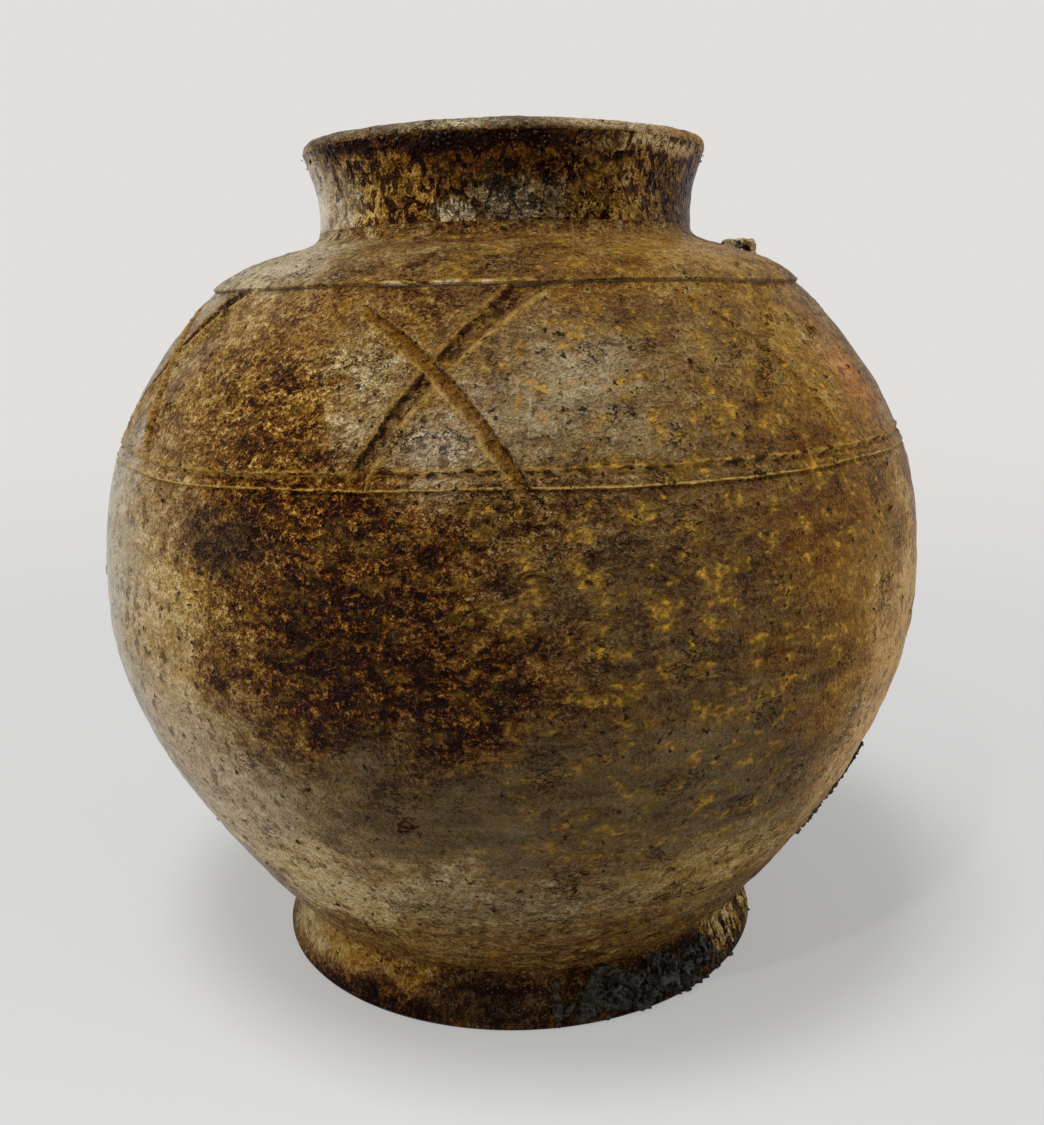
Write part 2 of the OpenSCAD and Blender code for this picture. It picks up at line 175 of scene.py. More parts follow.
class JarSizes(bpy.types.PropertyGroup):
    """Sizes of the jar that a user would change."""

    belly_radius: FloatProperty(
        name="Belly radius", description="Radius of the jar at its widest",
        default=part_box("lower_belly")[1].x, unit="LENGTH", precision=4)
    belly_height: FloatProperty(
        name="Belly height", description="Height of the widest line above the table",
        default=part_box("lower_belly")[1].z, unit="LENGTH", precision=4)
    foot_radius: FloatProperty(
        name="Foot radius", description="Radius of the foot ring on the table",
        default=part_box("foot_ring")[1].x, unit="LENGTH", precision=4)
    foot_height: FloatProperty(
        name="Foot height", description="Height of the foot ring",
        default=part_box("foot_ring")[1].z, unit="LENGTH", precision=4)
    waist_radius: FloatProperty(
        name="Waist radius", description="Radius where the belly springs from the foot",
        default=0.0885, unit="LENGTH", precision=4)
    wall: FloatProperty(
        name="Wall", description="Thickness of the thrown walls",
        default=0.008, unit="LENGTH", precision=4)
    edge_radius: FloatProperty(
        name="Edge radius", description="Radius of the edge of the shoulder cap",
        default=0.105, unit="LENGTH", precision=4)
    edge_height: FloatProperty(
        name="Edge height", description="Height of the edge of the shoulder cap",
        default=0.2475, unit="LENGTH", precision=4)
    edge_step: FloatProperty(
        name="Edge step", description="How far the cap stands out over the belly",
        default=0.0012, unit="LENGTH", precision=4)
    neck_radius: FloatProperty(
        name="Neck radius", description="Outer radius of the neck at its narrowest",
        default=0.0675, unit="LENGTH", precision=4)
    throat_radius: FloatProperty(
        name="Throat radius", description="Radius of the straight throat inside the neck",
        default=0.060, unit="LENGTH", precision=4)
    neck_height: FloatProperty(
        name="Neck height", description="Height of the narrowest place of the neck",
        default=0.2675, unit="LENGTH", precision=4)
    lip_radius: FloatProperty(
        name="Lip radius", description="Radius of the sharp lower edge of the lip",
        default=0.0725, unit="LENGTH", precision=4)
    lip_height: FloatProperty(
        name="Lip height", description="Height of the sharp lower edge of the lip",
        default=0.2935, unit="LENGTH", precision=4)
    jar_height: FloatProperty(
        name="Jar height", description="Height of the whole jar",
        default=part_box("rim_coil")[1].z, unit="LENGTH", precision=4)
    floor_height: FloatProperty(
        name="Floor height", description="Height of the floor inside the jar",
        default=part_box("base_disc")[1].z, unit="LENGTH", precision=4)
    recess_height: FloatProperty(
        name="Recess height", description="Height of the hollow under the base",
        default=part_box("base_disc")[0].z, unit="LENGTH", precision=4)
    upper_line: FloatProperty(
        name="Upper line", description="Height of the upper turned line",
        default=0.1972, unit="LENGTH", precision=4)
    lower_line: FloatProperty(
        name="Lower line", description="Height of the lower turned line",
        default=0.1929, unit="LENGTH", precision=4)
    broad_arm: FloatProperty(
        name="Broad arm", description="Width of the broad arm of a cross",
        default=0.0054, unit="LENGTH", precision=4)
    thin_arm: FloatProperty(
        name="Thin arm", description="Width of the thin arm of a cross",
        default=0.0042, unit="LENGTH", precision=4)


class JarColours(bpy.types.PropertyGroup):
    """Colours of the jar and its stage."""

    darkest: FloatVectorProperty(
        name="Darkest glaze", description="Thick black-brown glass",
        subtype="COLOR", size=4, min=0, max=1, default=(0.008, 0.001, 0.0002, 1))
    brown: FloatVectorProperty(
        name="Brown glaze", description="Red-brown glass",
        subtype="COLOR", size=4, min=0, max=1, default=(0.052, 0.012, 0.0008, 1))
    amber: FloatVectorProperty(
        name="Amber glaze", description="Clear amber glass",
        subtype="COLOR", size=4, min=0, max=1, default=(0.145, 0.054, 0.004, 1))
    ochre: FloatVectorProperty(
        name="Ochre glaze", description="Yellow ochre glass with ash in it",
        subtype="COLOR", size=4, min=0, max=1, default=(0.300, 0.162, 0.018, 1))
    cream: FloatVectorProperty(
        name="Cream ash", description="Palest specks of the glassy glaze",
        subtype="COLOR", size=4, min=0, max=1, default=(0.58, 0.43, 0.16, 1))
    honey: FloatVectorProperty(
        name="Honey flecks", description="Saturated amber flecks of the satin glaze",
        subtype="COLOR", size=4, min=0, max=1, default=(0.60, 0.33, 0.035, 1))
    embers: FloatVectorProperty(
        name="Amber patches", description="Warm glow of the glaze round its flecks",
        subtype="COLOR", size=4, min=0, max=1, default=(0.175, 0.092, 0.012, 1))
    soot: FloatVectorProperty(
        name="Soot", description="Pits, cracks and the darkest dry ash",
        subtype="COLOR", size=4, min=0, max=1, default=(0.010, 0.004, 0.0015, 1))
    purple: FloatVectorProperty(
        name="Purple brown", description="Dark dry ash",
        subtype="COLOR", size=4, min=0, max=1, default=(0.050, 0.035, 0.017, 1))
    olive: FloatVectorProperty(
        name="Olive brown", description="Middle dry ash",
        subtype="COLOR", size=4, min=0, max=1, default=(0.150, 0.110, 0.052, 1))
    stone: FloatVectorProperty(
        name="Stone", description="Pale dry ash",
        subtype="COLOR", size=4, min=0, max=1, default=(0.330, 0.270, 0.160, 1))
    bone: FloatVectorProperty(
        name="Bone", description="Palest dry ash",
        subtype="COLOR", size=4, min=0, max=1, default=(0.60, 0.50, 0.36, 1))
    flush: FloatVectorProperty(
        name="Red flush", description="Tint where the flame reddened the glaze",
        subtype="COLOR", size=4, min=0, max=2, default=(1.15, 0.62, 0.50, 1))
    clay: FloatVectorProperty(
        name="Bare clay", description="Unglazed clay inside the jar",
        subtype="COLOR", size=4, min=0, max=1, default=(0.155, 0.095, 0.056, 1))
    charcoal: FloatVectorProperty(
        name="Charcoal", description="Black kiln crust",
        subtype="COLOR", size=4, min=0, max=1, default=(0.0128, 0.0112, 0.0078, 1))
    floor: FloatVectorProperty(
        name="Floor", description="Pale floor",
        subtype="COLOR", size=4, min=0, max=1, default=(0.68, 0.68, 0.675, 1))
    backdrop: FloatVectorProperty(
        name="Backdrop", description="Pale backdrop",
        subtype="COLOR", size=4, min=0, max=1, default=(0.755, 0.735, 0.715, 1))


def polar(length, angle):
    """Point at a length and an angle in degrees, in radius and height."""
    return np.array([length * np.cos(radians(angle)), length * np.sin(radians(angle))])


def bezier(p, t):
    """Cubic curve through p[0] and p[3] at t from 0 to 1, one row for each t."""
    p, t = np.asarray(p, float), np.asarray(t, float)[:, None]
    return (1 - t)**3 * p[0] + 3 * (1 - t)**2 * t * p[1] + 3 * (1 - t) * t**2 * p[2] + t**3 * p[3]


def inward(p, t):
    """Unit normal of the curve towards the inside of the jar: the tangent turned left."""
    p, t = np.asarray(p, float), np.asarray(t, float)[:, None]
    d = (1 - t)**2 * (p[1] - p[0]) + 2 * (1 - t) * t * (p[2] - p[1]) + t**2 * (p[3] - p[2])
    d /= np.linalg.norm(d, axis=1, keepdims=True)
    return np.stack([-d[:, 1], d[:, 0]], axis=1)


def skin(p, t, depth=0.0):
    """Points of the wall at a depth below the outer curve."""
    t = np.atleast_1d(np.asarray(t, float))
    return bezier(p, t) + depth * inward(p, t)


def curves():
    """The jar's outline as cubic curves from the table to the lip, from the user's sizes."""
    s = bpy.context.scene.jar_sizes
    foot = [(s.foot_radius, 1.2 * MM), (s.foot_radius - 0.8 * MM, s.foot_height * 0.45),
            (s.waist_radius - 0.6 * MM, s.foot_height * 0.6), (s.waist_radius, s.foot_height)]
    start = np.array([s.waist_radius, s.foot_height])
    lower = [start, start + polar(28 * MM, 46), (s.belly_radius, s.belly_height - 49 * MM),
             (s.belly_radius, s.belly_height)]
    edge = np.array([s.edge_radius, s.edge_height])
    upper = [(s.belly_radius, s.belly_height), (s.belly_radius, s.belly_height + 19 * MM),
             edge + polar(62.5 * MM, -42.5), edge]
    cap_start = skin(upper, 1, -s.edge_step)[0]
    cap = [cap_start, cap_start + polar(19 * MM, 137.5),
           (s.neck_radius, s.neck_height - 7.4 * MM), (s.neck_radius, s.neck_height)]
    arris = np.array([s.lip_radius, s.lip_height])
    neck = [(s.neck_radius, s.neck_height), (s.neck_radius, s.neck_height + 7.6 * MM),
            arris - polar(13.7 * MM, 65), arris]
    return {"foot": foot, "lower": lower, "upper": upper, "cap": cap, "neck": neck}


def waves(points, size, seed):
    """Smooth noise near -1 to 1: a sum of sine waves in seeded directions, each about size long."""
    rng = np.random.default_rng(seed)
    way = rng.normal(size=(WAVE_COUNT, 3))
    way /= np.linalg.norm(way, axis=1, keepdims=True)
    pace = 2 * np.pi / size * rng.uniform(0.7, 1.5, WAVE_COUNT)
    start = rng.uniform(0, 2 * np.pi, WAVE_COUNT)
    return np.sin(points @ (way * pace[:, None]).T + start).sum(-1) / np.sqrt(WAVE_COUNT / 2) / 1.6


def turned_streaks(az, z, size, seed):
    """Noise drawn out round the jar: sine waves with few periods a turn and a short rise."""
    rng = np.random.default_rng(seed)
    value = np.zeros_like(az)
    for turns, pace, start in zip(rng.integers(-9, 10, WAVE_COUNT),
                                  rng.uniform(0.6, 1.7, WAVE_COUNT),
                                  rng.uniform(0, 2 * np.pi, WAVE_COUNT)):
        value += np.sin(turns * np.radians(az) + 2 * np.pi * pace * z / size + start)
    return value / np.sqrt(WAVE_COUNT / 2) / 1.6


def smooth(x, low, high):
    """Smooth step from 0 at low to 1 at high."""
    t = np.clip((x - low) / (high - low), 0, 1)
    return t * t * (3 - 2 * t)


def apart(a, b):
    """Difference of two azimuths, from -180 to 180."""
    return (a - b + 180) % 360 - 180


def bump_at(x, middle, half):
    """Bell curve of height 1 about middle."""
    return np.exp(-((x - middle) / half)**2)


def line_heights(az, sizes):
    """Heights of the two turned lines: level, with the dips and rises of the potter's hand."""
    upper = sizes.upper_line + MM * (0.6 * bump_at(az, 3, 10) - 2.0 * bump_at(az, -40, 14)
                                     + 0.5 * np.cos(np.radians(3 * az)) * smooth(abs(az), 60, 90))
    lower = sizes.lower_line + MM * (0.8 * bump_at(az, 0, 10) - 1.4 * bump_at(az, -43, 13)
                                     + 0.6 * bump_at(az, 48, 8)
                                     + 0.5 * np.cos(np.radians(3 * az + 20)) * smooth(abs(az), 60, 90))
    return upper, lower


def groove(across, width, depth, burr):
    """A line scratched with a stick held aslant. Across goes from -1 at the steep edge to 1 at the
    shallow edge: the ground drops at once behind the steep edge and climbs back slowly. The clay
    that was pushed up stands beside each edge as a narrow bell. Returns the height, the mask of
    the steep wall, which the glaze darkens with painted shade, the mask of the burrs and the mask
    of all that the stroke wipes out."""
    x = across / (width / 2)
    cut = smooth(x, -1.10, -0.74) * (1 - smooth(x, -0.3, 0.95))
    steep, shallow = bump_at(x, -1.34, 0.26), bump_at(x, 1.08, 0.32)
    ridge = np.maximum(steep * burr[0], shallow * burr[1]) / max(burr)
    wiped = smooth(x, -1.6, -1.1) * smooth(x, 1.5, 0.9)
    return burr[0] * steep + burr[1] * shallow - depth * cut, bump_at(x, -0.84, 0.24), ridge, wiped


def ornament(az, z, p, sizes):
    """Height of the surface and masks of the cuts' painted shade, the burrs and the strokes of the
    turned lines and the crosses. A later stroke wipes out the earlier ones where it cuts."""
    ragged = 0.88 + 0.26 * waves(p, 3.2 * MM, 21)
    wander = waves(p, 15 * MM, 22) * 0.30 * MM + waves(p, 2.4 * MM, 23) * 0.16 * MM
    upper, lower = line_heights(az, sizes)
    slope = 1.14
    height, cut, burr, whole = groove((upper - z) * slope + wander, 3.0 * MM, 0.8 * MM, (0.55 * MM, 0.12 * MM))
    clean = smooth(np.abs(apart(az, -62)), 47, 34)
    # The cut mask paints shade on the steep wall of the upper line, half as much about the left cross, and darkens
    # the gaps between its pooled amber blobs.
    cut = cut * (1 - 0.5 * clean)
    blobs = 0.95 + (0.7 - 0.6 * clean) * waves(p, 6 * MM, 24)
    pooled = bump_at(((upper - z) * slope + wander) / (1.5 * MM), -0.9, 0.8)
    cut = np.maximum(cut * np.clip(1.7 - blobs, 0.2, 1), pooled * smooth(blobs, 0.75, 0.45))
    burr = pooled * np.clip(1.9 * blobs - 0.7, 0, 1.7) * (1 + 0.25 * clean)
    h, c, b, k = groove((lower - z) * slope + 0.4 * wander, 1.8 * MM, 0.55 * MM, (0.45 * MM, 0.05 * MM))
    laid = bump_at(((lower - z) * slope + 0.4 * wander) / (0.9 * MM), -1.35, 0.5)
    height, cut, burr = height + h, np.maximum(cut, 0.25 * c), np.maximum(burr, 1.25 * laid)
    stroke = np.zeros_like(z)
    ball_z = ball_middle(curves()["upper"], sizes)
    around = np.hypot(p[:, 0], p[:, 1])
    for middle, rise, broad_lean, thin_lean, strength in CROSSES:
        side = np.radians(apart(az, middle)) * around
        climb = ball_angle(z, ball_z, sizes) - ball_angle(rise * MM, ball_z, sizes)
        for lean, turn, width, depth, banks, down, up in (
                (broad_lean, 1, sizes.broad_arm, 1.6 * MM, (0.40 * MM, 0.85 * MM), 38 * MM, 41 * MM),
                (-thin_lean, -1, sizes.thin_arm, 1.5 * MM, (0.12 * MM, 0.60 * MM), 43 * MM, 33 * MM)):
            c, s = np.cos(radians(lean)), np.sin(radians(lean))
            across, on = side * c - climb * s, side * s + climb * c
            across = across - turn * (2.3 if turn > 0 else 4.0) * MM * (on / (40 * MM))**2
            if turn > 0:
                width = width * (1 + 0.6 * smooth(on, 0, 38 * MM))
            here = smooth(on, -down - 3 * MM, -down + 4 * MM) * smooth(on, up + 3 * MM, up - 4 * MM)
            here = here * strength
            h, edge, b, k = groove(turn * across + wander, width, depth, banks)
            height = height * (1 - here * k) + h * here
            cut = np.maximum(cut * (1 - here * k), edge * here)
            burr = np.maximum(burr * (1 - here * k), b * here)
            x = (turn * across + wander) / (width / 2)
            # Painted shade on the floor of the broad arm, at half strength.
            if turn > 0:
                cut = np.maximum(cut, 0.5 * here * smooth(x, -1.0, -0.7) * smooth(x, 0.8, 0.3))
            bed = here * smooth(x, -0.75, -0.40) * smooth(x, 0.80, 0.35)
            stroke = np.maximum(stroke * (1 - here * k), bed if turn < 0 else 0.3 * bed)
    return height * ragged, cut, burr * ragged, stroke


def ball_middle(upper, sizes):
    """Height of the middle of the ball through the upper line and the cap's edge."""
    line = sizes.upper_line
    t = np.linspace(0, 1, 200)
    rim = bezier(upper, t)
    low = np.array([np.interp(line, rim[:, 1], rim[:, 0]), line])
    return (low @ low - rim[-1] @ rim[-1]) / 2 / (low[1] - rim[-1, 1])


def ball_angle(z, ball_z, sizes):
    """Distance along the ball from its equator to height z."""
    radius = np.hypot(sizes.edge_radius, sizes.edge_height - ball_z)
    return radius * np.arcsin(np.clip((z - ball_z) / radius, -1, 1))


def hand(az, z, p):
    """How far the wall stands out of true: slow lumps and throwing rings, held inside the jar's
    widest radius."""
    lumps = 0.40 * MM * waves(p, 95 * MM, 1) + 0.14 * MM * waves(p, 26 * MM, 2)
    rings = 0.24 * MM * turned_streaks(az, z, 13 * MM, 3)
    rings *= 0.30 + 0.70 * smooth(z, 0.19, 0.12) * smooth(az, -20, 25)
    free = bpy.context.scene.jar_sizes.belly_radius - 0.05 * MM - np.hypot(p[:, 0], p[:, 1])
    return np.minimum(lumps + rings + 0.06 * MM * waves(p, 6 * MM, 4) - 0.3 * MM, free)


def zone_values(az, z, p, zones):
    """What the glaze is at each point: each zone is a bell with a wandering edge, laid over the
    zones before it."""
    value = np.tile(np.array([0.42, 0.40, 0.50, 0.10, 0.20, 0.30]), (len(az), 1))
    shift = waves(p, 34 * MM, 31), waves(p, 30 * MM, 32)
    fine = waves(p, 9 * MM, 33)
    for _, middle, rise, half_az, half_z, *target in zones:
        x = (apart(az, middle) + half_az * (0.20 * shift[0] + 0.09 * fine)) / half_az
        y = (z / MM - rise + half_z * (0.20 * shift[1] + 0.09 * fine)) / half_z
        share = np.exp(-np.clip(x * x + y * y, 0, 40)**1.3)[:, None]
        value = value * (1 - share) + share * np.array(target)
    return value


def mesh_piece(name, points, faces, finishes, marks=None, nodes=(), sharp=None, turn_out=False):
    """A mesh object at the origin with its place in its mesh, riding on the jar's body."""
    mesh = bpy.data.meshes.new(name)
    mesh.from_pydata(points.tolist(), [], faces)
    if turn_out:
        work = bmesh.new()
        work.from_mesh(mesh)
        bmesh.ops.recalc_face_normals(work, faces=work.faces)
        work.to_mesh(mesh)
        work.free()
    for key, value in (marks or {}).items():
        value = np.broadcast_to(np.asarray(value, np.float32), len(points))
        mesh.attributes.new(key, "FLOAT", "POINT").data.foreach_set("value", np.ascontiguousarray(value))
    mesh.shade_smooth()
    if sharp:
        mesh.set_sharp_from_angle(angle=radians(sharp))
    for finish in finishes:
        mesh.materials.append(finish)
    piece = bpy.data.objects.new(name, mesh)
    bpy.context.scene.collection.objects.link(piece)
    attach(piece, BODY)
    if nodes:
        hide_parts(*nodes)
    return piece


def wrapped_faces(rows, columns, close_rows=True, close_columns=True):
    """Quads of a grid of rows and columns whose last row and column join the first."""
    i = np.arange(rows if close_rows else rows - 1)[:, None]
    j = np.arange(columns if close_columns else columns - 1)[None, :]
    down, side = (i + 1) % rows, (j + 1) % columns
    quads = np.stack(np.broadcast_arrays(i * columns + j, i * columns + side,
                                         down * columns + side, down * columns + j), axis=-1)
    return quads.reshape(-1, 4)


def closed_tubes(grid):
    """Points and faces of many tubes, grid[tube, row, column], whose rows are rings along the tube
    and whose two ends close on a point in their middle."""
    count, rows, columns = grid.shape[:3]
    ends = grid[:, [0, -1]].mean(axis=2)
    points = np.concatenate([grid.reshape(count, -1, 3), ends], axis=1)
    j = np.arange(columns)
    k, last = (j + 1) % columns, (rows - 1) * columns
    first_cap = np.stack([k, j, np.full(columns, rows * columns)], -1)
    last_cap = np.stack([last + j, last + k, np.full(columns, rows * columns + 1)], -1)
    step = (np.arange(count) * points.shape[1])[:, None, None]
    quads = wrapped_faces(rows, columns, close_rows=False)[None] + step
    caps = np.concatenate([first_cap, last_cap])[None] + step
    return points.reshape(-1, 3), quads.reshape(-1, 4).tolist() + caps.reshape(-1, 3).tolist()


def on_wall(curve, t, az, out, side, up):
    """Points beside places on the wall: moved out along its normal, sideways round the jar and up
    along its curve. t and az have one value for each place, the rest any number of axes more."""
    more = (slice(None),) + (None,) * (np.ndim(out) - 1)
    base, normal = bezier(curve, t), -inward(curve, t)
    r = base[:, 0][more] + normal[:, 0][more] * out - normal[:, 1][more] * up
    z = base[:, 1][more] + normal[:, 1][more] * out + normal[:, 0][more] * up
    angle = np.radians(az)[more]
    return np.stack(np.broadcast_arrays(r * np.sin(angle) + side * np.cos(angle),
                                        side * np.sin(angle) - r * np.cos(angle), z), -1)


def glaze_marks(p, zones):
    """The glaze's marks for loose pieces: those of the zones, with no cut, burr or streak."""
    az = np.degrees(np.arctan2(p[:, 0], -p[:, 1]))
    marks = dict(zip(GLAZE_MARKS, zone_values(az, p[:, 2], p, zones).T))
    marks.update({"cut": 0.0, "burr": 0.0, "streak": 0.0})
    return marks


def wall(curve, t, share=1.0, depth=0.0):
    """Rows of a section along the wall: radius, height, share of the hand-made shape and normal."""
    t = np.atleast_1d(np.asarray(t, float))
    share = np.broadcast_to(share, t.shape)
    return np.column_stack([skin(curve, t, depth), share, -inward(curve, t)])


def corner(*points, share=0.0):
    """Rows of a section at given points, which stay where they are or take a share."""
    points = np.array(points, float)
    return np.column_stack([points, np.full(len(points), share), np.tile([1.0, 0.0], (len(points), 1))])


def turned(outline, columns, shape):
    """Turns a closed section round the axis: the grid's rows are the section's points and its
    columns the azimuths. shape(az, z, p) moves points along the normal, by each row's share."""
    az = np.arange(columns) * 360 / columns - 180
    angle = np.radians(az)
    flat = np.ones((1, columns))
    rim, high = outline[:, 0:1], outline[:, 1:2] * flat
    p = np.stack([rim * np.sin(angle), -rim * np.cos(angle), high], -1).reshape(-1, 3)
    az = np.tile(az, len(outline))
    out = shape(az, p[:, 2], p) * (outline[:, 2:3] * flat).reshape(-1)
    side, lift = (outline[:, 3:4] * flat).reshape(-1), (outline[:, 4:5] * flat).reshape(-1)
    grown = 1 + side * out / np.hypot(p[:, 0], p[:, 1])
    top = bpy.context.scene.jar_sizes.jar_height
    return np.stack([p[:, 0] * grown, p[:, 1] * grown, np.minimum(p[:, 2] + lift * out, top)], -1), az


def even(p, t0, t1, count):
    """Places between t0 and t1 that are evenly spaced along the curve."""
    t = np.linspace(t0, t1, 400)
    along = np.concatenate([[0], np.cumsum(np.linalg.norm(np.diff(bezier(p, t), axis=0), axis=1))])
    return np.interp(np.linspace(0, along[-1], count), along, t)


def glazed(name, outline, outer_rows, columns, shape, zones, glaze, nodes, extra=None, sharp=40,
           band=None):
    """A turned piece with its glaze outside and bare clay on its other faces. A band is a row
    from which the outside has another finish and other zones."""
    p, az = turned(outline, columns, shape)
    row = np.repeat(np.arange(len(outline)), columns)
    values = zone_values(az, p[:, 2], p, zones)
    if band is not None:
        values = np.where(row[:, None] >= band[0], zone_values(az, p[:, 2], p, band[2]), values)
    marks = dict(zip(GLAZE_MARKS, values.T))
    marks["streak"] = turned_streaks(az, p[:, 2], 7 * MM, 41)
    marks.update({"cut": np.zeros(len(p)), "burr": np.zeros(len(p))})
    if extra is not None:
        marks.update(extra(az, p[:, 2], p))
    index = (row >= outer_rows).astype(np.int32)
    finishes = [glaze, bare_clay()]
    if band is not None:
        index[(row >= band[0] - 1) & (row < outer_rows)] = 2
        finishes.append(band[1])
    faces = wrapped_faces(len(outline), columns).tolist()
    piece = mesh_piece(name, p, faces, finishes, marks, nodes, sharp)
    piece.data.polygons.foreach_set("material_index", index)
    return piece


# Materials

class Shader:
    """Adds nodes to a tree and links what each one is given."""

    def __init__(self, tree):
        self.tree = tree

    def add(self, kind, settings=None, **inputs):
        """A node of the kind, with its settings and its inputs, by name or by place."""
        node = self.tree.nodes.new(kind)
        for key, value in (settings or {}).items():
            setattr(node, key, value)
        for key, value in inputs.items():
            place = int(key[1:]) if key[0] == "i" and key[1:].isdigit() else key.replace("_", " ")
            self.give(node.inputs[place], value)
        return node

    def give(self, socket, value):
        """Links the value if it is a socket, and otherwise sets it."""
        if isinstance(value, bpy.types.NodeSocket):
            self.tree.links.new(value, socket)
        else:
            socket.default_value = value

    def math(self, kind, a, b=0.0, clamp=False):
        return self.add("ShaderNodeMath", {"operation": kind, "use_clamp": clamp}, i0=a, i1=b).outputs[0]

    def mix(self, share, a, b, kind="MIX"):
        node = self.add("ShaderNodeMix", {"data_type": "RGBA", "blend_type": kind}, i0=share, i6=a, i7=b)
        return node.outputs[2]

    def blend(self, share, a, b):
        return self.add("ShaderNodeMix", {"data_type": "FLOAT"}, i0=share, i2=a, i3=b).outputs[0]

    def span(self, value, low, high, to_low=0.0, to_high=1.0):
        return self.add("ShaderNodeMapRange", {"clamp": True}, i0=value, i1=low, i2=high,
                        i3=to_low, i4=to_high).outputs[0]

    def noise(self, vector, scale, detail=2.0, rough=0.5, turn=0.0):
        return self.add("ShaderNodeTexNoise", {}, Vector=vector, Scale=scale, Detail=detail,
                        Roughness=rough, Distortion=turn).outputs["Fac"]

    def attribute(self, name):
        return self.add("ShaderNodeAttribute", {"attribute_name": name}).outputs["Fac"]

    def ramp(self, value, stops):
        node = self.add("ShaderNodeValToRGB", {}, i0=value)
        ramp = node.color_ramp
        while len(ramp.elements) < len(stops):
            ramp.elements.new(0.5)
        for element, (place, colour) in zip(ramp.elements, stops):
            element.position = place
            element.color = colour
        return node.outputs["Color"]


def new_group(name, inputs, outputs):
    """A shader node group with named sockets, or the one that was made before."""
    group = bpy.data.node_groups.get(name)
    if group is not None:
        return group, None, None, None
    group = bpy.data.node_groups.new(name, "ShaderNodeTree")
    for label, kind, value in inputs:
        socket = group.interface.new_socket(label, in_out="INPUT", socket_type="NodeSocket" + kind)
        if value is not None:
            socket.default_value = value
    for label, kind in outputs:
        group.interface.new_socket(label, in_out="OUTPUT", socket_type="NodeSocket" + kind)
    nodes = Shader(group)
    return group, nodes, nodes.add("NodeGroupInput").outputs, nodes.add("NodeGroupOutput").inputs


def speckle_group():
    """The patterns of wood ash on clay, all in object space. Each is a noise stretched to 0..1, from
    grain of half a millimetre to clouds of a few centimetres. Flecks are a noise above a threshold
    inside patches of another, pits are random cells of a Voronoi pattern, cracks are thin contours
    of a noise, and the height, in millimetres, adds them up."""
    group, nodes, given, out = new_group(
        "Ash speckle",
        [("Vector", "Vector", None), ("Rise", "Float", 1.0), ("Size", "Float", 1.0)],
        [("Grain", "Float"), ("Specks", "Float"), ("Mottle", "Float"), ("Clouds", "Float"),
         ("Wide", "Float"), ("Flecks", "Float"), ("Pits", "Float"), ("Cracks", "Float"),
         ("Peel", "Float"), ("Patches", "Float"), ("Dust and glints", "Float"), ("Dots", "Float"),
         ("Height", "Float")])
    if nodes is None:
        return group
    place = nodes.add("ShaderNodeVectorMath", {"operation": "SCALE"}, i0=given["Vector"], Scale=nodes.math(
        "DIVIDE", 1.0, given["Size"])).outputs[0]
    parted = nodes.add("ShaderNodeSeparateXYZ", {}, i0=place).outputs
    drawn = nodes.add("ShaderNodeCombineXYZ", {}, X=parted[0], Y=parted[1],
                      Z=nodes.math("MULTIPLY", parted[2], given["Rise"])).outputs[0]
    slant = nodes.add("ShaderNodeMapping", {}, Vector=place, Rotation=(0.0, 0.25, 0.0),
                      Scale=(0.8, 0.8, 1.45)).outputs[0]
    grain = nodes.span(nodes.noise(place, 2000, 1.0, 0.5), 0.33, 0.67)
    specks = nodes.span(nodes.noise(drawn, 520, 2.0, 0.6, 0.6), 0.37, 0.63)
    mottle = nodes.span(nodes.noise(slant, 250, 3.0, 0.6, 0.4), 0.41, 0.59)
    clouds = nodes.span(nodes.noise(slant, 85, 2.0, 0.55, 0.2), 0.34, 0.66)
    wide = nodes.span(nodes.noise(slant, 28, 2.0, 0.5), 0.35, 0.65)
    patches = nodes.span(nodes.noise(slant, 140, 2.0, 0.6, 0.5), 0.47, 0.64)
    flecks = nodes.math("MULTIPLY", nodes.span(nodes.noise(place, 430, 2.0, 0.55, 0.1), 0.47, 0.66), nodes.span(patches, 0.35, 0.9))
    bent = nodes.add("ShaderNodeTexNoise", {}, Vector=place, Scale=520.0, Detail=1.0).outputs["Color"]
    bent = nodes.add("ShaderNodeVectorMath", {"operation": "SCALE"}, i0=bent, Scale=0.004).outputs[0]
    bent = nodes.add("ShaderNodeVectorMath", {"operation": "ADD"}, i0=place, i1=bent).outputs[0]
    pits = pitted(nodes, bent, 210.0, 0.18, 0.50)
    pits = nodes.math("MAXIMUM", pits, pitted(nodes, bent, 420.0, 0.20, 0.60))
    dust_and_glints = pitted(nodes, place, 800.0, 0.16, 0.55)
    long = nodes.add("ShaderNodeVectorMath", {"operation": "MULTIPLY"}, i0=bent, i1=(1.0, 1.0, 0.55)).outputs[0]
    dots = pitted(nodes, long, 235.0, 0.35, 0.12)
    contour = nodes.math("ABSOLUTE", nodes.math("SUBTRACT", nodes.noise(slant, 250, 3.0, 0.65), 0.5))
    cracks = nodes.math("MULTIPLY", nodes.span(contour, 0.030, 0.008),
                        nodes.span(nodes.noise(place, 60, 2.0, 0.5), 0.57, 0.63))
    peel = nodes.span(nodes.noise(place, 760, 1.5, 0.55, 0.1), 0.38, 0.60)
    height = nodes.math("ADD", nodes.math("MULTIPLY", peel, 0.30), nodes.math("MULTIPLY", grain, 0.05))
    height = nodes.math("ADD", height, nodes.math("MULTIPLY", mottle, 0.16))
    height = nodes.math("SUBTRACT", height, nodes.math("MULTIPLY", pits, 0.32))
    height = nodes.math("SUBTRACT", height, nodes.math("MULTIPLY", cracks, 0.25))
    for label, value in (("Grain", grain), ("Specks", specks), ("Mottle", mottle), ("Clouds", clouds),
                         ("Wide", wide), ("Flecks", flecks), ("Pits", pits), ("Cracks", cracks),
                         ("Peel", peel), ("Patches", patches), ("Dust and glints", dust_and_glints), ("Dots", dots), ("Height", height)):
        nodes.give(out[label], value)
    return group


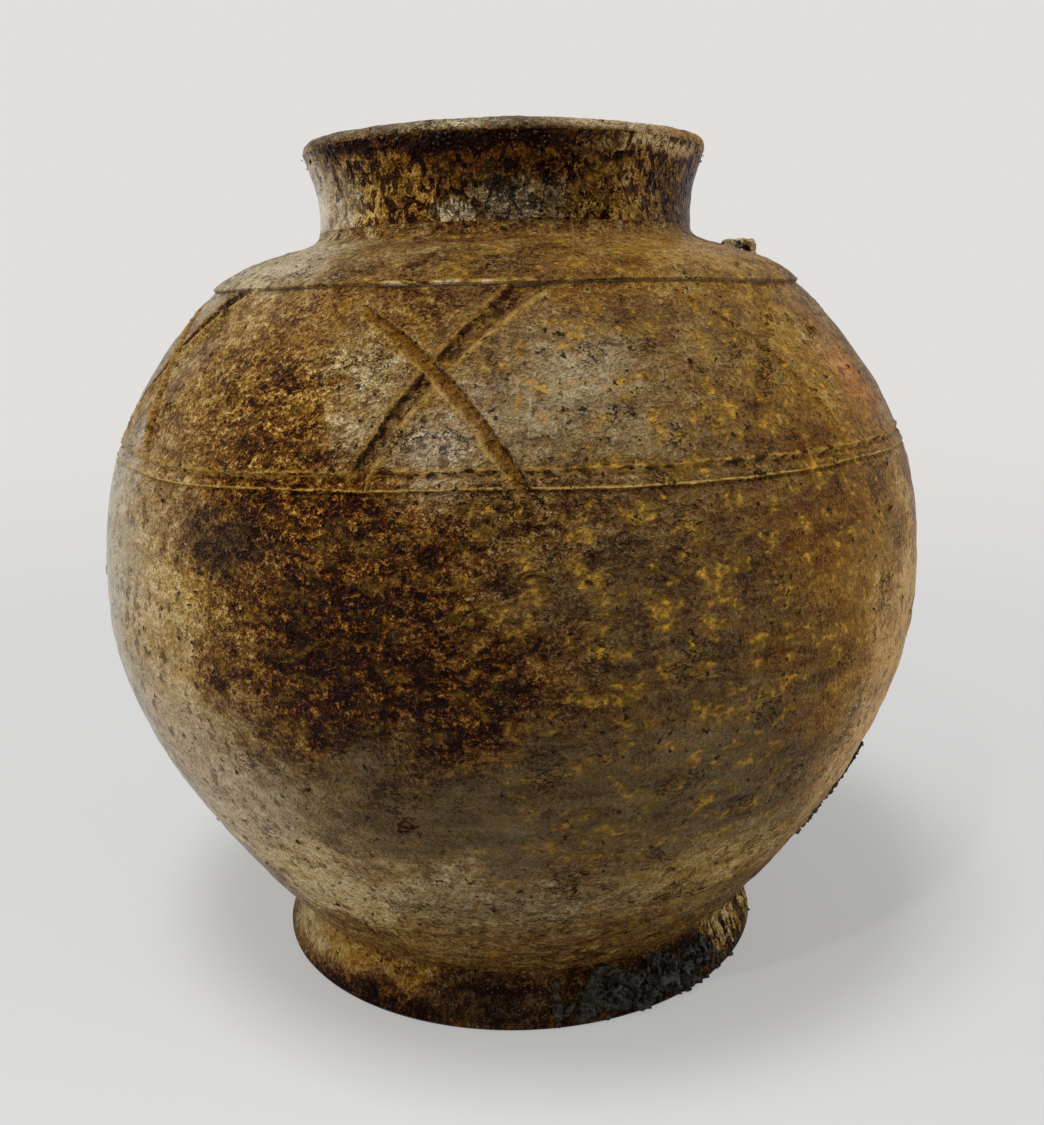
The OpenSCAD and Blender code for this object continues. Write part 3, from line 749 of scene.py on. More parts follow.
def pitted(nodes, place, scale, radius, chosen):
    """Round dark spots in the Voronoi cells whose random value is above chosen."""
    cell = nodes.add("ShaderNodeTexVoronoi", {"feature": "F1"}, Vector=place, Scale=scale).outputs
    luck = nodes.add("ShaderNodeSeparateColor", {}, i0=cell["Color"]).outputs
    size = nodes.span(luck[1], 0.0, 1.0, 0.5 * radius, radius)
    spot = nodes.span(nodes.math("SUBTRACT", cell["Distance"], size), 0.05, -0.02)
    return nodes.math("MULTIPLY", spot, nodes.math("GREATER_THAN", luck[0], chosen))


def glaze_material(name, rise, size, peel, matte, glossy, drip=0.0):
    """Ash glaze. Tone, specks, mottle and streaks add up to a level that picks a colour from a
    glassy ramp or a dry one. Cuts are darker with painted shade, burrs paler, and gloss follows the
    zone. Drip is how dark the run-down spots are where the glaze is crisp."""
    found = bpy.data.materials.get(name)
    if found is not None:
        return found
    c = bpy.context.scene.jar_colours
    material = bpy.data.materials.new(name)
    material.use_nodes = True
    material.node_tree.nodes.clear()
    nodes = Shader(material.node_tree)
    place = nodes.add("ShaderNodeTexCoord").outputs["Object"]
    ash = nodes.add("ShaderNodeGroup", {"node_tree": speckle_group()}, Vector=place, Rise=rise,
                    Size=size).outputs
    mark = {key: nodes.attribute(key) for key in GLAZE_MARKS + ("cut", "burr", "stroke", "streak")}

    def swing(value, amount):
        return nodes.math("MULTIPLY", nodes.math("SUBTRACT", value, 0.5), amount)

    level = swing(ash["Specks"], nodes.span(mark["crisp"], 0, 1, 0.05, 0.42))
    level = nodes.math("ADD", level, swing(ash["Grain"], nodes.span(mark["crisp"], 0, 1, 0.20, 0.50)))
    level = nodes.math("ADD", level, swing(ash["Mottle"], nodes.span(mark["crisp"], 0, 1, 0.05, 0.42)))
    # The peel's height lifts the level, so its hollows are darker: partly glaze pooled in them and partly painted
    # shade of the relief.
    level = nodes.math("ADD", level, swing(ash["Peel"], nodes.span(mark["crisp"], 0, 1, 0.06, 0.30)))
    level = nodes.math("ADD", level, swing(ash["Clouds"], nodes.span(mark["crisp"], 0, 1, 0.15, 0.22)))
    level = nodes.math("MULTIPLY", level, nodes.span(mark["grey"], 0.0, 1.0, 1.0, 0.65))
    level = nodes.math("ADD", nodes.math("ADD", level, mark["tone"]), swing(ash["Wide"], 0.07))
    level = nodes.math("ADD", level, nodes.math("MULTIPLY", mark["streak"], 0.028))
    if drip:
        spots = nodes.math("MULTIPLY", nodes.span(ash["Specks"], 0.46, 0.66), nodes.span(mark["crisp"], 0.05, 0.3))
        level = nodes.math("SUBTRACT", level, nodes.math("MULTIPLY", spots, drip))
    # Painted shade on the steep walls of the cuts and in the lug's eye, and the black hollows of the blisters, made
    # ragged by specks and mottle.
    cut_shade_and_hollows = nodes.math("ADD", mark["cut"], swing(ash["Specks"], 0.8))
    cut_shade_and_hollows = nodes.math("ADD", cut_shade_and_hollows, swing(ash["Mottle"], 0.5))
    cut_shade_and_hollows = nodes.math("MULTIPLY", nodes.span(cut_shade_and_hollows, 0.35, 0.75), nodes.span(mark["cut"], 0.02, 0.2))
    raised = nodes.math("ADD", mark["burr"], swing(ash["Specks"], 0.3))
    raised = nodes.math("MULTIPLY", nodes.span(raised, 0.20, 0.60), nodes.span(mark["burr"], 0.02, 0.2))
    level = nodes.blend(nodes.math("MULTIPLY", mark["stroke"], 0.65), level, 0.43)
    level = nodes.blend(nodes.math("MULTIPLY", raised, 0.80), level, nodes.span(mark["burr"], 0.4, 1.6, 0.64, 1.0))
    level = nodes.blend(nodes.math("MULTIPLY", cut_shade_and_hollows, 0.80), level, 0.12)
    glassy = nodes.ramp(level, [(0.0, c.darkest), (0.25, c.brown), (0.45, c.amber), (0.67, c.ochre), (1.0, c.cream)])
    dry = nodes.ramp(level, [(0.0, c.soot), (0.25, c.purple), (0.50, c.olive), (0.75, c.stone), (1.0, c.bone)])
    dryness = nodes.math("ADD", mark["grey"], swing(ash["Wide"], 0.14))
    dryness = nodes.math("ADD", dryness, swing(ash["Peel"], 0.35), clamp=True)
    dryness = nodes.math("MULTIPLY", dryness, nodes.span(mark["burr"], 0.0, 0.5, 1.0, 0.35))
    dryness = nodes.math("MULTIPLY", dryness, nodes.span(mark["stroke"], 0.0, 1.0, 1.0, 0.15))
    dryness = nodes.math("ADD", dryness, nodes.span(mark["burr"], 1.3, 1.9), clamp=True)
    colour = nodes.mix(dryness, glassy, dry)
    glow = nodes.math("MULTIPLY", nodes.math("MULTIPLY", ash["Patches"], mark["fleck"]), 0.75)
    colour = nodes.mix(glow, colour, c.embers)
    fleck = nodes.math("MULTIPLY", ash["Flecks"], mark["fleck"])
    fleck = nodes.math("MULTIPLY", fleck, nodes.span(ash["Grain"], 0.0, 1.0, 0.55, 1.0))
    colour = nodes.mix(fleck, colour, c.honey)
    # Pale specks: partly the glaze's own and partly painted glints.
    colour = nodes.mix(nodes.math("MULTIPLY", ash["Dust and glints"], 0.22), colour, c.bone)
    dots = nodes.math("MULTIPLY", ash["Dots"], nodes.span(mark["tone"], 0.45, 0.65, 0.0, 0.6))
    colour = nodes.mix(dots, colour, c.brown)
    flush = nodes.mix(mark["red"], (1, 1, 1, 1), c.flush)
    colour = nodes.mix(1.0, colour, flush, "MULTIPLY")
    dark = nodes.math("MAXIMUM", nodes.math("MULTIPLY", ash["Pits"], 0.9), nodes.math("MULTIPLY", ash["Cracks"], 0.9))
    colour = nodes.mix(dark, colour, c.soot)
    rough = nodes.span(mark["gloss"], 0.0, 0.6, matte, glossy)
    rough = nodes.math("ADD", rough, swing(ash["Specks"], 0.12), clamp=True)
    relief = nodes.math("MULTIPLY", ash["Height"], nodes.span(mark["crisp"], 0.0, 0.6, 1.2, 2.6))
    bump = nodes.add("ShaderNodeBump", {}, Strength=1.0, Distance=peel, Height=relief)
    shader = nodes.add("ShaderNodeBsdfPrincipled", {}, Base_Color=colour, Roughness=rough,
                       Coat_Weight=nodes.span(mark["gloss"], 0.62, 1.0, 0.0, 0.45), Normal=bump.outputs[0])
    shader.inputs["Specular IOR Level"].default_value = 0.03
    shader.inputs["Coat Roughness"].default_value = 0.25
    nodes.add("ShaderNodeOutputMaterial", {}, Surface=shader.outputs[0])
    return material


def plain_material(name, dark, pale, rise, roughness, peel, coat=0.0):
    """A fired surface: two colours mixed by specks and mottle. Coat is how glassy it is."""
    found = bpy.data.materials.get(name)
    if found is not None:
        return found
    material = bpy.data.materials.new(name)
    material.use_nodes = True
    material.node_tree.nodes.clear()
    nodes = Shader(material.node_tree)
    place = nodes.add("ShaderNodeTexCoord").outputs["Object"]
    ash = nodes.add("ShaderNodeGroup", {"node_tree": speckle_group()}, Vector=place, Rise=rise).outputs
    level = nodes.math("ADD", nodes.math("MULTIPLY", ash["Specks"], 0.6), nodes.math("MULTIPLY", ash["Mottle"], 0.4))
    colour = nodes.mix(nodes.span(level, 0.2, 0.8), dark, pale)
    colour = nodes.mix(nodes.math("MULTIPLY", ash["Pits"], 0.7), colour, shaded(dark, 0.4))
    bump = nodes.add("ShaderNodeBump", {}, Strength=1.0, Distance=peel, Height=ash["Height"])
    rough = nodes.span(ash["Specks"], 0.2, 0.8, roughness[0], roughness[1])
    shader = nodes.add("ShaderNodeBsdfPrincipled", {}, Base_Color=colour, Roughness=rough,
                       Normal=bump.outputs[0])
    shader.inputs["Specular IOR Level"].default_value = 0.06
    shader.inputs["Coat Weight"].default_value = coat
    shader.inputs["Coat Roughness"].default_value = 0.3
    nodes.add("ShaderNodeOutputMaterial", {}, Surface=shader.outputs[0])
    return material


def shaded(colour, factor):
    """A colour made darker or paler."""
    return tuple(min(1.0, channel * factor) for channel in colour[:3]) + (1.0,)


def belly_glaze():
    return glaze_material("belly ash glaze", 1.0, 1.0, 1 * MM, 0.60, 0.14)


def neck_glaze():
    return glaze_material("amber neck glaze", 0.65, 1.35, 1 * MM, 0.60, 0.12, 0.60)


def foot_glaze():
    return glaze_material("dark foot glaze", 0.6, 1.2, 1 * MM, 0.60, 0.12)


def lip_glaze():
    return glaze_material("fired lip clay", 1.0, 1.0, 1.6 * MM, 0.70, 0.35)


def bare_clay():
    c = bpy.context.scene.jar_colours
    return plain_material("inside clay", shaded(c.clay, 0.6), shaded(c.clay, 1.25), 1.0, (0.7, 0.9), 0.8 * MM)


def crust_material(name, pale):
    c = bpy.context.scene.jar_colours
    return plain_material(name, shaded(c.charcoal, 0.3), shaded(c.charcoal, pale), 1.0, (0.3, 0.6), 2.6 * MM,
                          0.14)


# Pieces

class JAR_OT_foot(bpy.types.Operator):
    """Builds the turned foot ring."""

    bl_idname = "jar.foot"
    bl_label = "Foot ring"

    def execute(self, context):
        s, c = context.scene.jar_sizes, curves()
        base, plug = s.waist_radius - s.wall, s.waist_radius - s.wall - 6 * MM
        bevel = corner([s.foot_radius - 1.6 * MM, 0], [s.foot_radius - 0.7 * MM, 0.2 * MM])
        t = even(c["foot"], 0, 1, 34)
        z = skin(c["foot"], t)[:, 1]
        share = smooth(z, 0.0, 4 * MM) * smooth(z, s.foot_height, s.foot_height - 3 * MM)
        inner = corner([base, s.foot_height], [plug, s.foot_height], [plug, s.recess_height],
                       [plug + 2 * MM, s.recess_height / 2], [plug + 4 * MM, 0])
        outline = np.concatenate([bevel, wall(c["foot"], t, share), inner])
        glazed("jar_foot_ring", outline, len(bevel) + len(t), COLUMNS, hand, FOOT_ZONES, foot_glaze(),
               ["foot_ring"])
        return {"FINISHED"}


class JAR_OT_lower_belly(bpy.types.Operator):
    """Builds the lower thrown section of the belly."""

    bl_idname = "jar.lower_belly"
    bl_label = "Lower belly"

    def execute(self, context):
        s, c = context.scene.jar_sizes, curves()
        base = s.waist_radius - s.wall
        t = even(c["lower"], 0, 1, 106)
        share = smooth(skin(c["lower"], t)[:, 1], s.foot_height, s.foot_height + 3 * MM)
        inner = wall(c["lower"], even(c["lower"], 0.93, 0.02, 15), 0, s.wall)
        foot = corner([base, s.floor_height], [base, s.foot_height])
        outline = np.concatenate([wall(c["lower"], t, share), inner, foot])
        glazed("jar_lower_belly", outline, len(t), COLUMNS, hand, ZONES, belly_glaze(),
               ["lower_belly"])
        return {"FINISHED"}


class JAR_OT_upper_belly(bpy.types.Operator):
    """Builds the upper thrown section in three rings: plain wall, turned lines and crosses."""

    bl_idname = "jar.upper_belly"
    bl_label = "Upper belly"

    def execute(self, context):
        s, c = context.scene.jar_sizes, curves()
        fine = np.linspace(0, 1, 400)
        height = skin(c["upper"], fine)[:, 1]
        low = np.interp(s.lower_line - 4 * MM, height, fine)
        high = np.interp(s.upper_line + 4.5 * MM, height, fine)

        def shape(az, z, p):
            return hand(az, z, p) + ornament(az, z, p, s)[0]

        def marks(az, z, p):
            _, cut, burr, stroke = ornament(az, z, p, s)
            return {"cut": cut, "burr": burr, "stroke": stroke}

        top = wall(c["upper"], 1, 0, s.wall / 2)
        third = even(c["upper"], high, 1, 4)
        for name, t0, t1, rows, columns, end in (
                ("jar_upper_wall", 0, low, 38, COLUMNS, None),
                ("jar_turned_lines", low, high, 44, 1800, None),
                ("jar_cross_band_low", high, third[1], 42, 1900, None),
                ("jar_cross_band_middle", third[1], third[2], 42, 1900, None),
                ("jar_cross_band_high", third[2], 1, 42, 1900, top)):
            t = even(c["upper"], t0, t1, rows)
            inner = wall(c["upper"], even(c["upper"], min(t1, 0.93), t0, 6), 0, s.wall)
            parts = [wall(c["upper"], t), inner] if end is None else [wall(c["upper"], t), end, inner]
            glazed(name, np.concatenate(parts), len(t), columns, shape, ZONES, belly_glaze(),
                   ["upper_belly"], marks)
        return {"FINISHED"}


class JAR_OT_shoulder(bpy.types.Operator):
    """Builds the shoulder cap with its standing edge and the luting coil round the neck."""

    bl_idname = "jar.shoulder"
    bl_label = "Shoulder cap"

    def execute(self, context):
        s, c = context.scene.jar_sizes, curves()
        under = wall(c["upper"], 1, 1, -0.5 * s.edge_step)
        t = even(c["cap"], 0.004, 1, 66)
        share = smooth(skin(c["cap"], t)[:, 1], s.neck_height, s.neck_height - 4 * MM)
        seat = corner([s.neck_radius - 1 * MM, s.neck_height - 1 * MM],
                      [s.throat_radius, s.edge_height + 11 * MM],
                      [s.throat_radius, s.edge_height + 5.3 * MM])
        inner = wall(c["cap"], even(c["cap"], 0.62, 0.0, 12), 0, s.wall + s.edge_step)
        lap = wall(c["upper"], 0.93, 0, s.wall)
        back = wall(c["upper"], 1, 0, s.wall / 2)
        outline = np.concatenate([under, wall(c["cap"], t, share), seat, inner, lap, back])

        def shape(az, z, p):
            return hand(az, z, p) + 0.1 * MM * waves(p, 5 * MM, 7)

        def marks(az, z, p):
            edge = smooth(z, s.edge_height + 2.2 * MM, s.edge_height + 0.9 * MM)
            ash = 2.4 * bump_at(apart(az, -10), 0, 12) * (0.7 + 0.5 * waves(p, 6 * MM, 15))
            return {"burr": edge * (0.05 + ash)}

        glazed("jar_shoulder_cap", outline, 1 + len(t), COLUMNS, shape, ZONES, belly_glaze(),
               ["shoulder_cap", "neck_seam_coil"], marks)
        return {"FINISHED"}


class JAR_OT_neck(bpy.types.Operator):
    """Builds the neck."""

    bl_idname = "jar.neck"
    bl_label = "Neck"

    def execute(self, context):
        s, c = context.scene.jar_sizes, curves()
        t = even(c["neck"], 0, LIP_SEAT, 36)
        rim, top = skin(c["neck"], LIP_SEAT)[0]
        share = smooth(skin(c["neck"], t)[:, 1], s.neck_height, s.neck_height + 3 * MM)
        low = corner([s.neck_radius - 0.2 * MM, s.edge_height + 11 * MM])
        inner = corner([rim - s.wall, top], [s.throat_radius + 0.5 * MM, s.neck_height + 13 * MM],
                       [s.throat_radius, s.neck_height + 9 * MM],
                       [s.throat_radius, s.edge_height + 11 * MM])
        outline = np.concatenate([low, wall(c["neck"], t, share), inner])
        glazed("jar_neck", outline, 1 + len(t), COLUMNS, hand, NECK_ZONES, neck_glaze(),
               ["neck_collar"])
        return {"FINISHED"}


class JAR_OT_lip(bpy.types.Operator):
    """Builds the rolled lip with its sharp lower edge."""

    bl_idname = "jar.lip"
    bl_label = "Lip"

    def execute(self, context):
        s, c = context.scene.jar_sizes, curves()
        t = even(c["neck"], LIP_SEAT, 1, 10)
        flare = wall(c["neck"], t)
        half, middle = 3.2 * MM, s.lip_radius - 4.2 * MM
        angle = np.radians(np.linspace(8, 176, 18))
        stretch = np.where(angle < np.pi / 2, 1.25, 1.0)
        band = np.column_stack([middle + half * np.cos(angle) * stretch,
                                s.jar_height - half + half * np.sin(angle),
                                np.full(len(angle), 0.7), np.cos(angle), np.sin(angle)])
        inner = corner([flare[0, 0] - s.wall + 0.6 * MM, s.lip_height - 1.5 * MM],
                       [flare[0, 0] - s.wall, flare[0, 1]])
        outline = np.concatenate([flare, band, inner])

        def shape(az, z, p):
            lumps = 0.2 * MM * waves(p, 11 * MM, 9) + 0.1 * MM * waves(p, 3.5 * MM, 10) - 0.2 * MM
            return hand(az, z, p) + lumps * smooth(z, flare[0, 1] + 3 * MM, s.lip_height)

        glazed("jar_lip", outline, len(outline) - 2, COLUMNS, shape, NECK_ZONES, neck_glaze(),
               ["rim_coil"], sharp=50, band=(len(t), lip_glaze(), LIP_ZONES))
        return {"FINISHED"}


class JAR_OT_lug(bpy.types.Operator):
    """Builds the strap lug on the right shoulder: a ring of clay between its eye and a slab with
    rounded corners, thickest at its foot."""

    bl_idname = "jar.lug"
    bl_label = "Shoulder lug"

    def execute(self, context):
        eye = frame_mount("lug_eye")
        place, axis = Vector(eye["pos_m"]), Vector(eye["axis"])
        out = Vector((place.x, place.y, 0)).normalized()
        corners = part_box("shoulder_lug")
        length, width, top = 14 * MM, 7 * MM, corners[1].z - place.z
        inner_end, outer_end = -length / 2 - 1.7 * MM, length / 2 - 1.7 * MM
        turn = np.linspace(0, 2 * np.pi, 97)[:-1][:, None]
        phi = np.linspace(0, 2 * np.pi, 41)[:-1][None, :]
        c, k = np.cos(turn), np.sin(turn)
        reach_x = np.where(c > 0, outer_end, -inner_end) / np.maximum(np.abs(c), 1e-6)
        reach_z = np.where(k > 0, top, 9 * MM) / np.maximum(np.abs(k), 1e-6)
        slab = (reach_x**-5.0 + reach_z**-5.0)**-0.2
        around, across = np.cos(phi), np.sin(phi)
        mouth = 1.5 * MM * (1 + 0.75 * np.abs(across)**3 * (0.55 + 0.45 * np.cos(2 * turn + 0.5)))
        bulge = np.sign(around) * np.abs(around)**0.55
        radius = mouth + (slab - mouth) * (1 + bulge) / 2
        half = width / 2 * (1 - 0.10 * k) * np.sign(across) * np.abs(across)**0.6
        grid = (np.array(place) + (radius * c)[..., None] * np.array(out)
                + (radius * k)[..., None] * np.array([0, 0, 1]) + (half + 0 * c)[..., None] * np.array(axis))
        p = grid.reshape(-1, 3)
        away = p - np.array(place)
        away /= np.linalg.norm(away, axis=1, keepdims=True)
        near = smooth((radius + 0 * phi).reshape(-1), 1.6 * MM, 3.5 * MM)
        p = p + away * (near * (0.30 * MM * waves(p, 5 * MM, 12) + 0.14 * MM * waves(p, 1.8 * MM, 13)
                                - 0.35 * MM))[:, None]
        p[:, 2] = np.minimum(p[:, 2], corners[1].z)
        # The cut mark paints shade in the lug's eye.
        marks = {"tone": 0.84 + 0.10 * waves(p, 4 * MM, 14), "gloss": 0.35, "crisp": 0.3,
                 "red": 0.5 * smooth(away @ np.array(out), 0.6, 1.0), "grey": 0.6, "fleck": 0.2,
                 "cut": 1.6 * (1 - near), "burr": 0.0, "streak": 0.0}
        mesh_piece("jar_lug", p, wrapped_faces(96, 40).tolist(), [belly_glaze()], marks,
                   ["shoulder_lug"], turn_out=True)
        return {"FINISHED"}


def frame_mount(name):
    """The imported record's mount of that name."""
    return next(mount for mount in frame["record"]["mounts"] if mount["name"] == name)


def crust_patch(name, curve, span_t, span_az, most, size, seed, node, finish, low, zones=None):
    """A crust over the curve between two azimuths. Its outer face is a ragged landscape of waves,
    which sinks below the surface towards a ragged oval border, and its inner face is buried. Low
    is the share of the rows at which the oval is widest."""
    rows, columns = 64, int((span_az[1] - span_az[0]) * 7)
    u, v = np.linspace(0, 1, rows)[:, None], np.linspace(0, 1, columns)[None, :]
    t = span_t[0] + (span_t[1] - span_t[0]) * u
    az = span_az[0] + (span_az[1] - span_az[0]) * v
    t, az = (np.broadcast_to(value, (rows, columns)).reshape(-1) for value in (t, az))
    flat = on_wall(curve, t, az, np.zeros(len(t)), 0.0, 0.0)
    rough = (0.50 * waves(flat, size, seed) + 0.38 * waves(flat, size / 2.6, seed + 1)
             + 0.30 * waves(flat, size / 6, seed + 2))
    reach = np.hypot(2 * v - 1, (u - low) / (1 - low)).reshape(-1)
    border = smooth(1.02 + 0.30 * waves(flat, 2.2 * size, seed + 3) - reach, 0, 0.55)
    thick = most * np.clip(1.25 * border * (0.80 + 0.75 * rough) - 0.36, -1.0, 1.0)
    thick = thick - 1.4 * MM * (1 - smooth(border, 0, 0.3))
    outer = on_wall(curve, t, az, thick, 0.0, 0.0).reshape(rows, columns, 3)
    inner = on_wall(curve, t, az, np.minimum(thick - 0.5 * MM, -2 * MM), 0.0, 0.0).reshape(rows, columns, 3)
    points, faces = closed_tubes(np.concatenate([outer, inner[::-1]]).transpose(1, 0, 2)[None])
    marks = {}
    if zones:
        marks = glaze_marks(points, zones)
        marks["tone"] = marks["tone"] + 0.14 * waves(points, size / 4, seed + 4) - 0.03
    mesh_piece(name, points, faces, [finish], marks, [node], turn_out=True)


def lumps(name, curve, t, az, size, seed, nodes, finish, flat=0.8, zones=None):
    """Small lumps stuck to the wall: spheres flattened against it and dented by seeded sines."""
    rng = np.random.default_rng(seed)
    count, rows, columns = len(t), 7, 11
    theta = (np.arange(rows) + 0.5)[None, :, None] * np.pi / rows
    phi = (np.arange(columns) * 2 * np.pi / columns)[None, None, :]
    start = rng.uniform(0, 2 * np.pi, (3, count, 1, 1))
    wide = rng.uniform(0.75, 1.35, (2, count, 1, 1))
    dent = 1 + 0.20 * np.sin(2 * phi + start[0]) + 0.16 * np.sin(3 * phi + start[1]) * np.sin(theta)
    dent = dent + 0.18 * np.sin(4 * theta + start[2])
    size = size[:, None, None] * dent
    grid = on_wall(curve, t, az, size * flat * np.cos(theta), size * wide[0] * np.sin(theta) * np.cos(phi),
                   size * wide[1] * np.sin(theta) * np.sin(phi))
    points, faces = closed_tubes(grid)
    marks = glaze_marks(points, zones) if zones else {}
    return mesh_piece(name, points, faces, [finish], marks, nodes, turn_out=True)


def scattered(rng, count, middle, spread, t_middle, t_spread):
    """Random places in a bell round a middle azimuth and a middle of the curve."""
    return (np.clip(rng.normal(t_middle, t_spread, count), 0.02, 0.98), rng.normal(middle, spread, count))


class JAR_OT_crusts(bpy.types.Operator):
    """Builds the kiln crusts and their crumbs on the foot, the neck, the belly and the lip."""

    bl_idname = "jar.crusts"
    bl_label = "Kiln crusts"

    def execute(self, context):
        c = curves()
        rng = np.random.default_rng(70)
        black = crust_material("black crust", 5.2)
        crust_patch("jar_foot_crust", c["foot"], (0.02, 0.93), (2, 61), 2.6 * MM, 8 * MM, 51, "foot_crust", black,
                    0.45)
        t, az = scattered(rng, 190, 34, 17, 0.30, 0.20)
        lumps("jar_foot_crumbs", c["foot"], t, np.clip(az, 8, 78), rng.uniform(0.35, 1.5, 190) * MM, 52, [], black)
        crust_patch("jar_neck_crust", c["neck"], (0.02, 0.80), (-20, 36), 0.9 * MM, 4 * MM, 61, "neck_crust",
                    neck_glaze(), 0.40, NECK_ZONES)
        t, az = scattered(rng, 170, 8, 9, 0.40, 0.20)
        lumps("jar_neck_crumbs", c["neck"], t, az, rng.uniform(0.2, 0.8, 170) * MM, 62, [],
              neck_glaze(), 0.6, NECK_ZONES)
        share = np.sort(rng.uniform(0, 1, 70))
        fine = np.linspace(0, 1, 300)
        t = np.interp((54 + 36 * share) * MM, bezier(c["lower"], fine)[:, 1], fine)
        az = 58.5 + 5 * share + rng.normal(0, 0.9, 70)
        lumps("jar_belly_crumbs", c["lower"], t, az, rng.uniform(0.35, 1.1, 70) * MM, 71, ["belly_crumbs"], black)
        az = np.concatenate([rng.uniform(-60, 60, 26), rng.normal(-16, 4, 14), rng.uniform(60, 300, 20)])
        t = rng.uniform(0.9, 1.0, 60)
        lumps("jar_lip_crumbs", c["neck"], t, az, rng.uniform(0.2, 0.55, 60) * MM, 81, [], black)
        return {"FINISHED"}


class JAR_OT_blisters(bpy.types.Operator):
    """Builds the burst blisters of the glaze: low ragged rims round black hollows."""

    bl_idname = "jar.blisters"
    bl_label = "Glaze blisters"

    def execute(self, context):
        c = curves()
        rng = np.random.default_rng(90)
        for name, curve, count, t_span, zones in (
                ("jar_belly_blisters", c["lower"], 230, (0.08, 1.0), ZONES),
                ("jar_band_blisters", c["upper"], 260, (0.0, 0.97), ZONES),
                ("jar_shoulder_blisters", c["cap"], 90, (0.03, 0.95), ZONES)):
            t, az = rng.uniform(*t_span, count), rng.uniform(-180, 180, count)
            size = (0.45 + 0.85 * rng.uniform(0, 1, count)**2.2) * MM
            self.rims(name, curve, t, az, size, rng, zones)
        fine = np.linspace(0, 1, 300)
        t = np.interp(np.array([97.5, 95.6, 93.8]) * MM, bezier(c["lower"], fine)[:, 1], fine)
        self.rims("jar_belly_scar", c["lower"], t, np.array([-12.8, -13.2, -13.8]),
                  np.array([2.5, 2.1, 1.0]) * MM, rng, ZONES)
        return {"FINISHED"}

    def rims(self, name, curve, t, az, size, rng, zones):
        """Rings round each place: their radius is dented by sines, and their height climbs to a
        rim and drops into the middle."""
        count, columns = len(t), 14
        away = np.array([0.12, 0.40, 0.62, 0.82, 1.02, 1.30, 1.30])[None, :, None]
        rise = np.array([0.03, 0.05, 0.16, 0.24, 0.17, -0.06, -0.6])[None, :, None]
        hollow = np.array([1.0, 1.0, 0.9, 0.2, 0.0, 0.0, 0.0])
        phi = (np.arange(columns) * 2 * np.pi / columns)[None, None, :]
        start = rng.uniform(0, 2 * np.pi, (2, count, 1, 1))
        dent = 1 + 0.24 * np.sin(2 * phi + start[0]) + 0.14 * np.sin(3 * phi + start[1])
        size = size[:, None, None]
        out = size * rise * (1 + 0.3 * np.sin(phi + start[1])) - 0.28 * MM
        grid = on_wall(curve, t, az, out + 0 * dent, size * away * dent * np.cos(phi),
                       size * away * dent * np.sin(phi))
        p, faces = closed_tubes(grid)
        marks = glaze_marks(p, zones)
        mask = np.concatenate([np.repeat(hollow, columns), [1.0, 0.0]])
        marks["cut"] = np.tile(mask, count) * 2.5
        marks["tone"] = marks["tone"] - 0.25 * np.tile(mask, count)
        marks["grey"] = marks["grey"] * (1 - np.tile(mask, count))
        marks["burr"] = np.tile(np.concatenate([np.repeat(hollow == 0.2, columns), [0, 0]]), count) * 0.35
        mesh_piece(name, p, faces, [belly_glaze()], marks, turn_out=True)


class JAR_OT_drips(bpy.types.Operator):
    """Builds the ropes of pale glaze down the right of the foot."""

    bl_idname = "jar.drips"
    bl_label = "Foot drips"

    def execute(self, context):
        curve = curves()["foot"]
        rng = np.random.default_rng(95)
        count, rows, columns = 17, 26, 12
        az = np.sort(rng.uniform(47, 80, count))
        along = np.linspace(0, 1, rows)[None, :]
        top = rng.uniform(0.90, 0.99, (count, 1))
        low = rng.uniform(0.06, 0.50, (count, 1))
        t = top + (low - top) * along
        sway = az[:, None] + 0.5 * np.sin(along * rng.uniform(3, 7, (count, 1)) + rng.uniform(0, 6, (count, 1)))
        girth = rng.uniform(0.9, 1.8, (count, 1)) * MM * (0.55 + 0.45 * np.sin(np.pi * along**2.2)
                                                         + 0.2 * np.sin(17 * along + az[:, None]))
        girth = girth * smooth(along, 0, 0.08) * smooth(along, 1.02, 0.94) + 0.05 * MM
        phi = (np.arange(columns) * 2 * np.pi / columns)[None, :]
        girth = girth.reshape(-1, 1)
        grid = on_wall(curve, t.reshape(-1), sway.reshape(-1), 0.75 * girth * np.cos(phi),
                       girth * np.sin(phi), 0.0 * phi).reshape(count, rows, columns, 3)
        p, faces = closed_tubes(grid)
        marks = glaze_marks(p, FOOT_ZONES)
        marks.update({"tone": 0.80 + 0.22 * waves(p, 5 * MM, 96), "gloss": 0.6, "grey": 0.0, "fleck": 0.7})
        mesh_piece("jar_foot_drips", p, faces, [foot_glaze()], marks, turn_out=True)
        return {"FINISHED"}


class JAR_OT_inside(bpy.types.Operator):
    """Gives the floor and the seam coils inside the jar their bare clay."""

    bl_idname = "jar.inside"
    bl_label = "Inside"

    def execute(self, context):
        for name in ("base_disc", "base_seam_coil", "belly_seam_coil", "shoulder_seam_coil"):
            node = frame["nodes"][name]
            node.data.materials.clear()
            node.data.materials.append(bare_clay())
        return {"FINISHED"}


# Camera, from a fit to the foot, lines, lip and outlines: focal length as a share of the
# photograph's width, place, pitch and roll
FOCAL_SHARE = 1148.62 / 1044
SENSOR = 36.0
CAMERA_PLACE = (3.677 * MM, -440.095 * MM, 242.518 * MM)
CAMERA_PITCH = 12.79
CAMERA_ROLL = -1.186


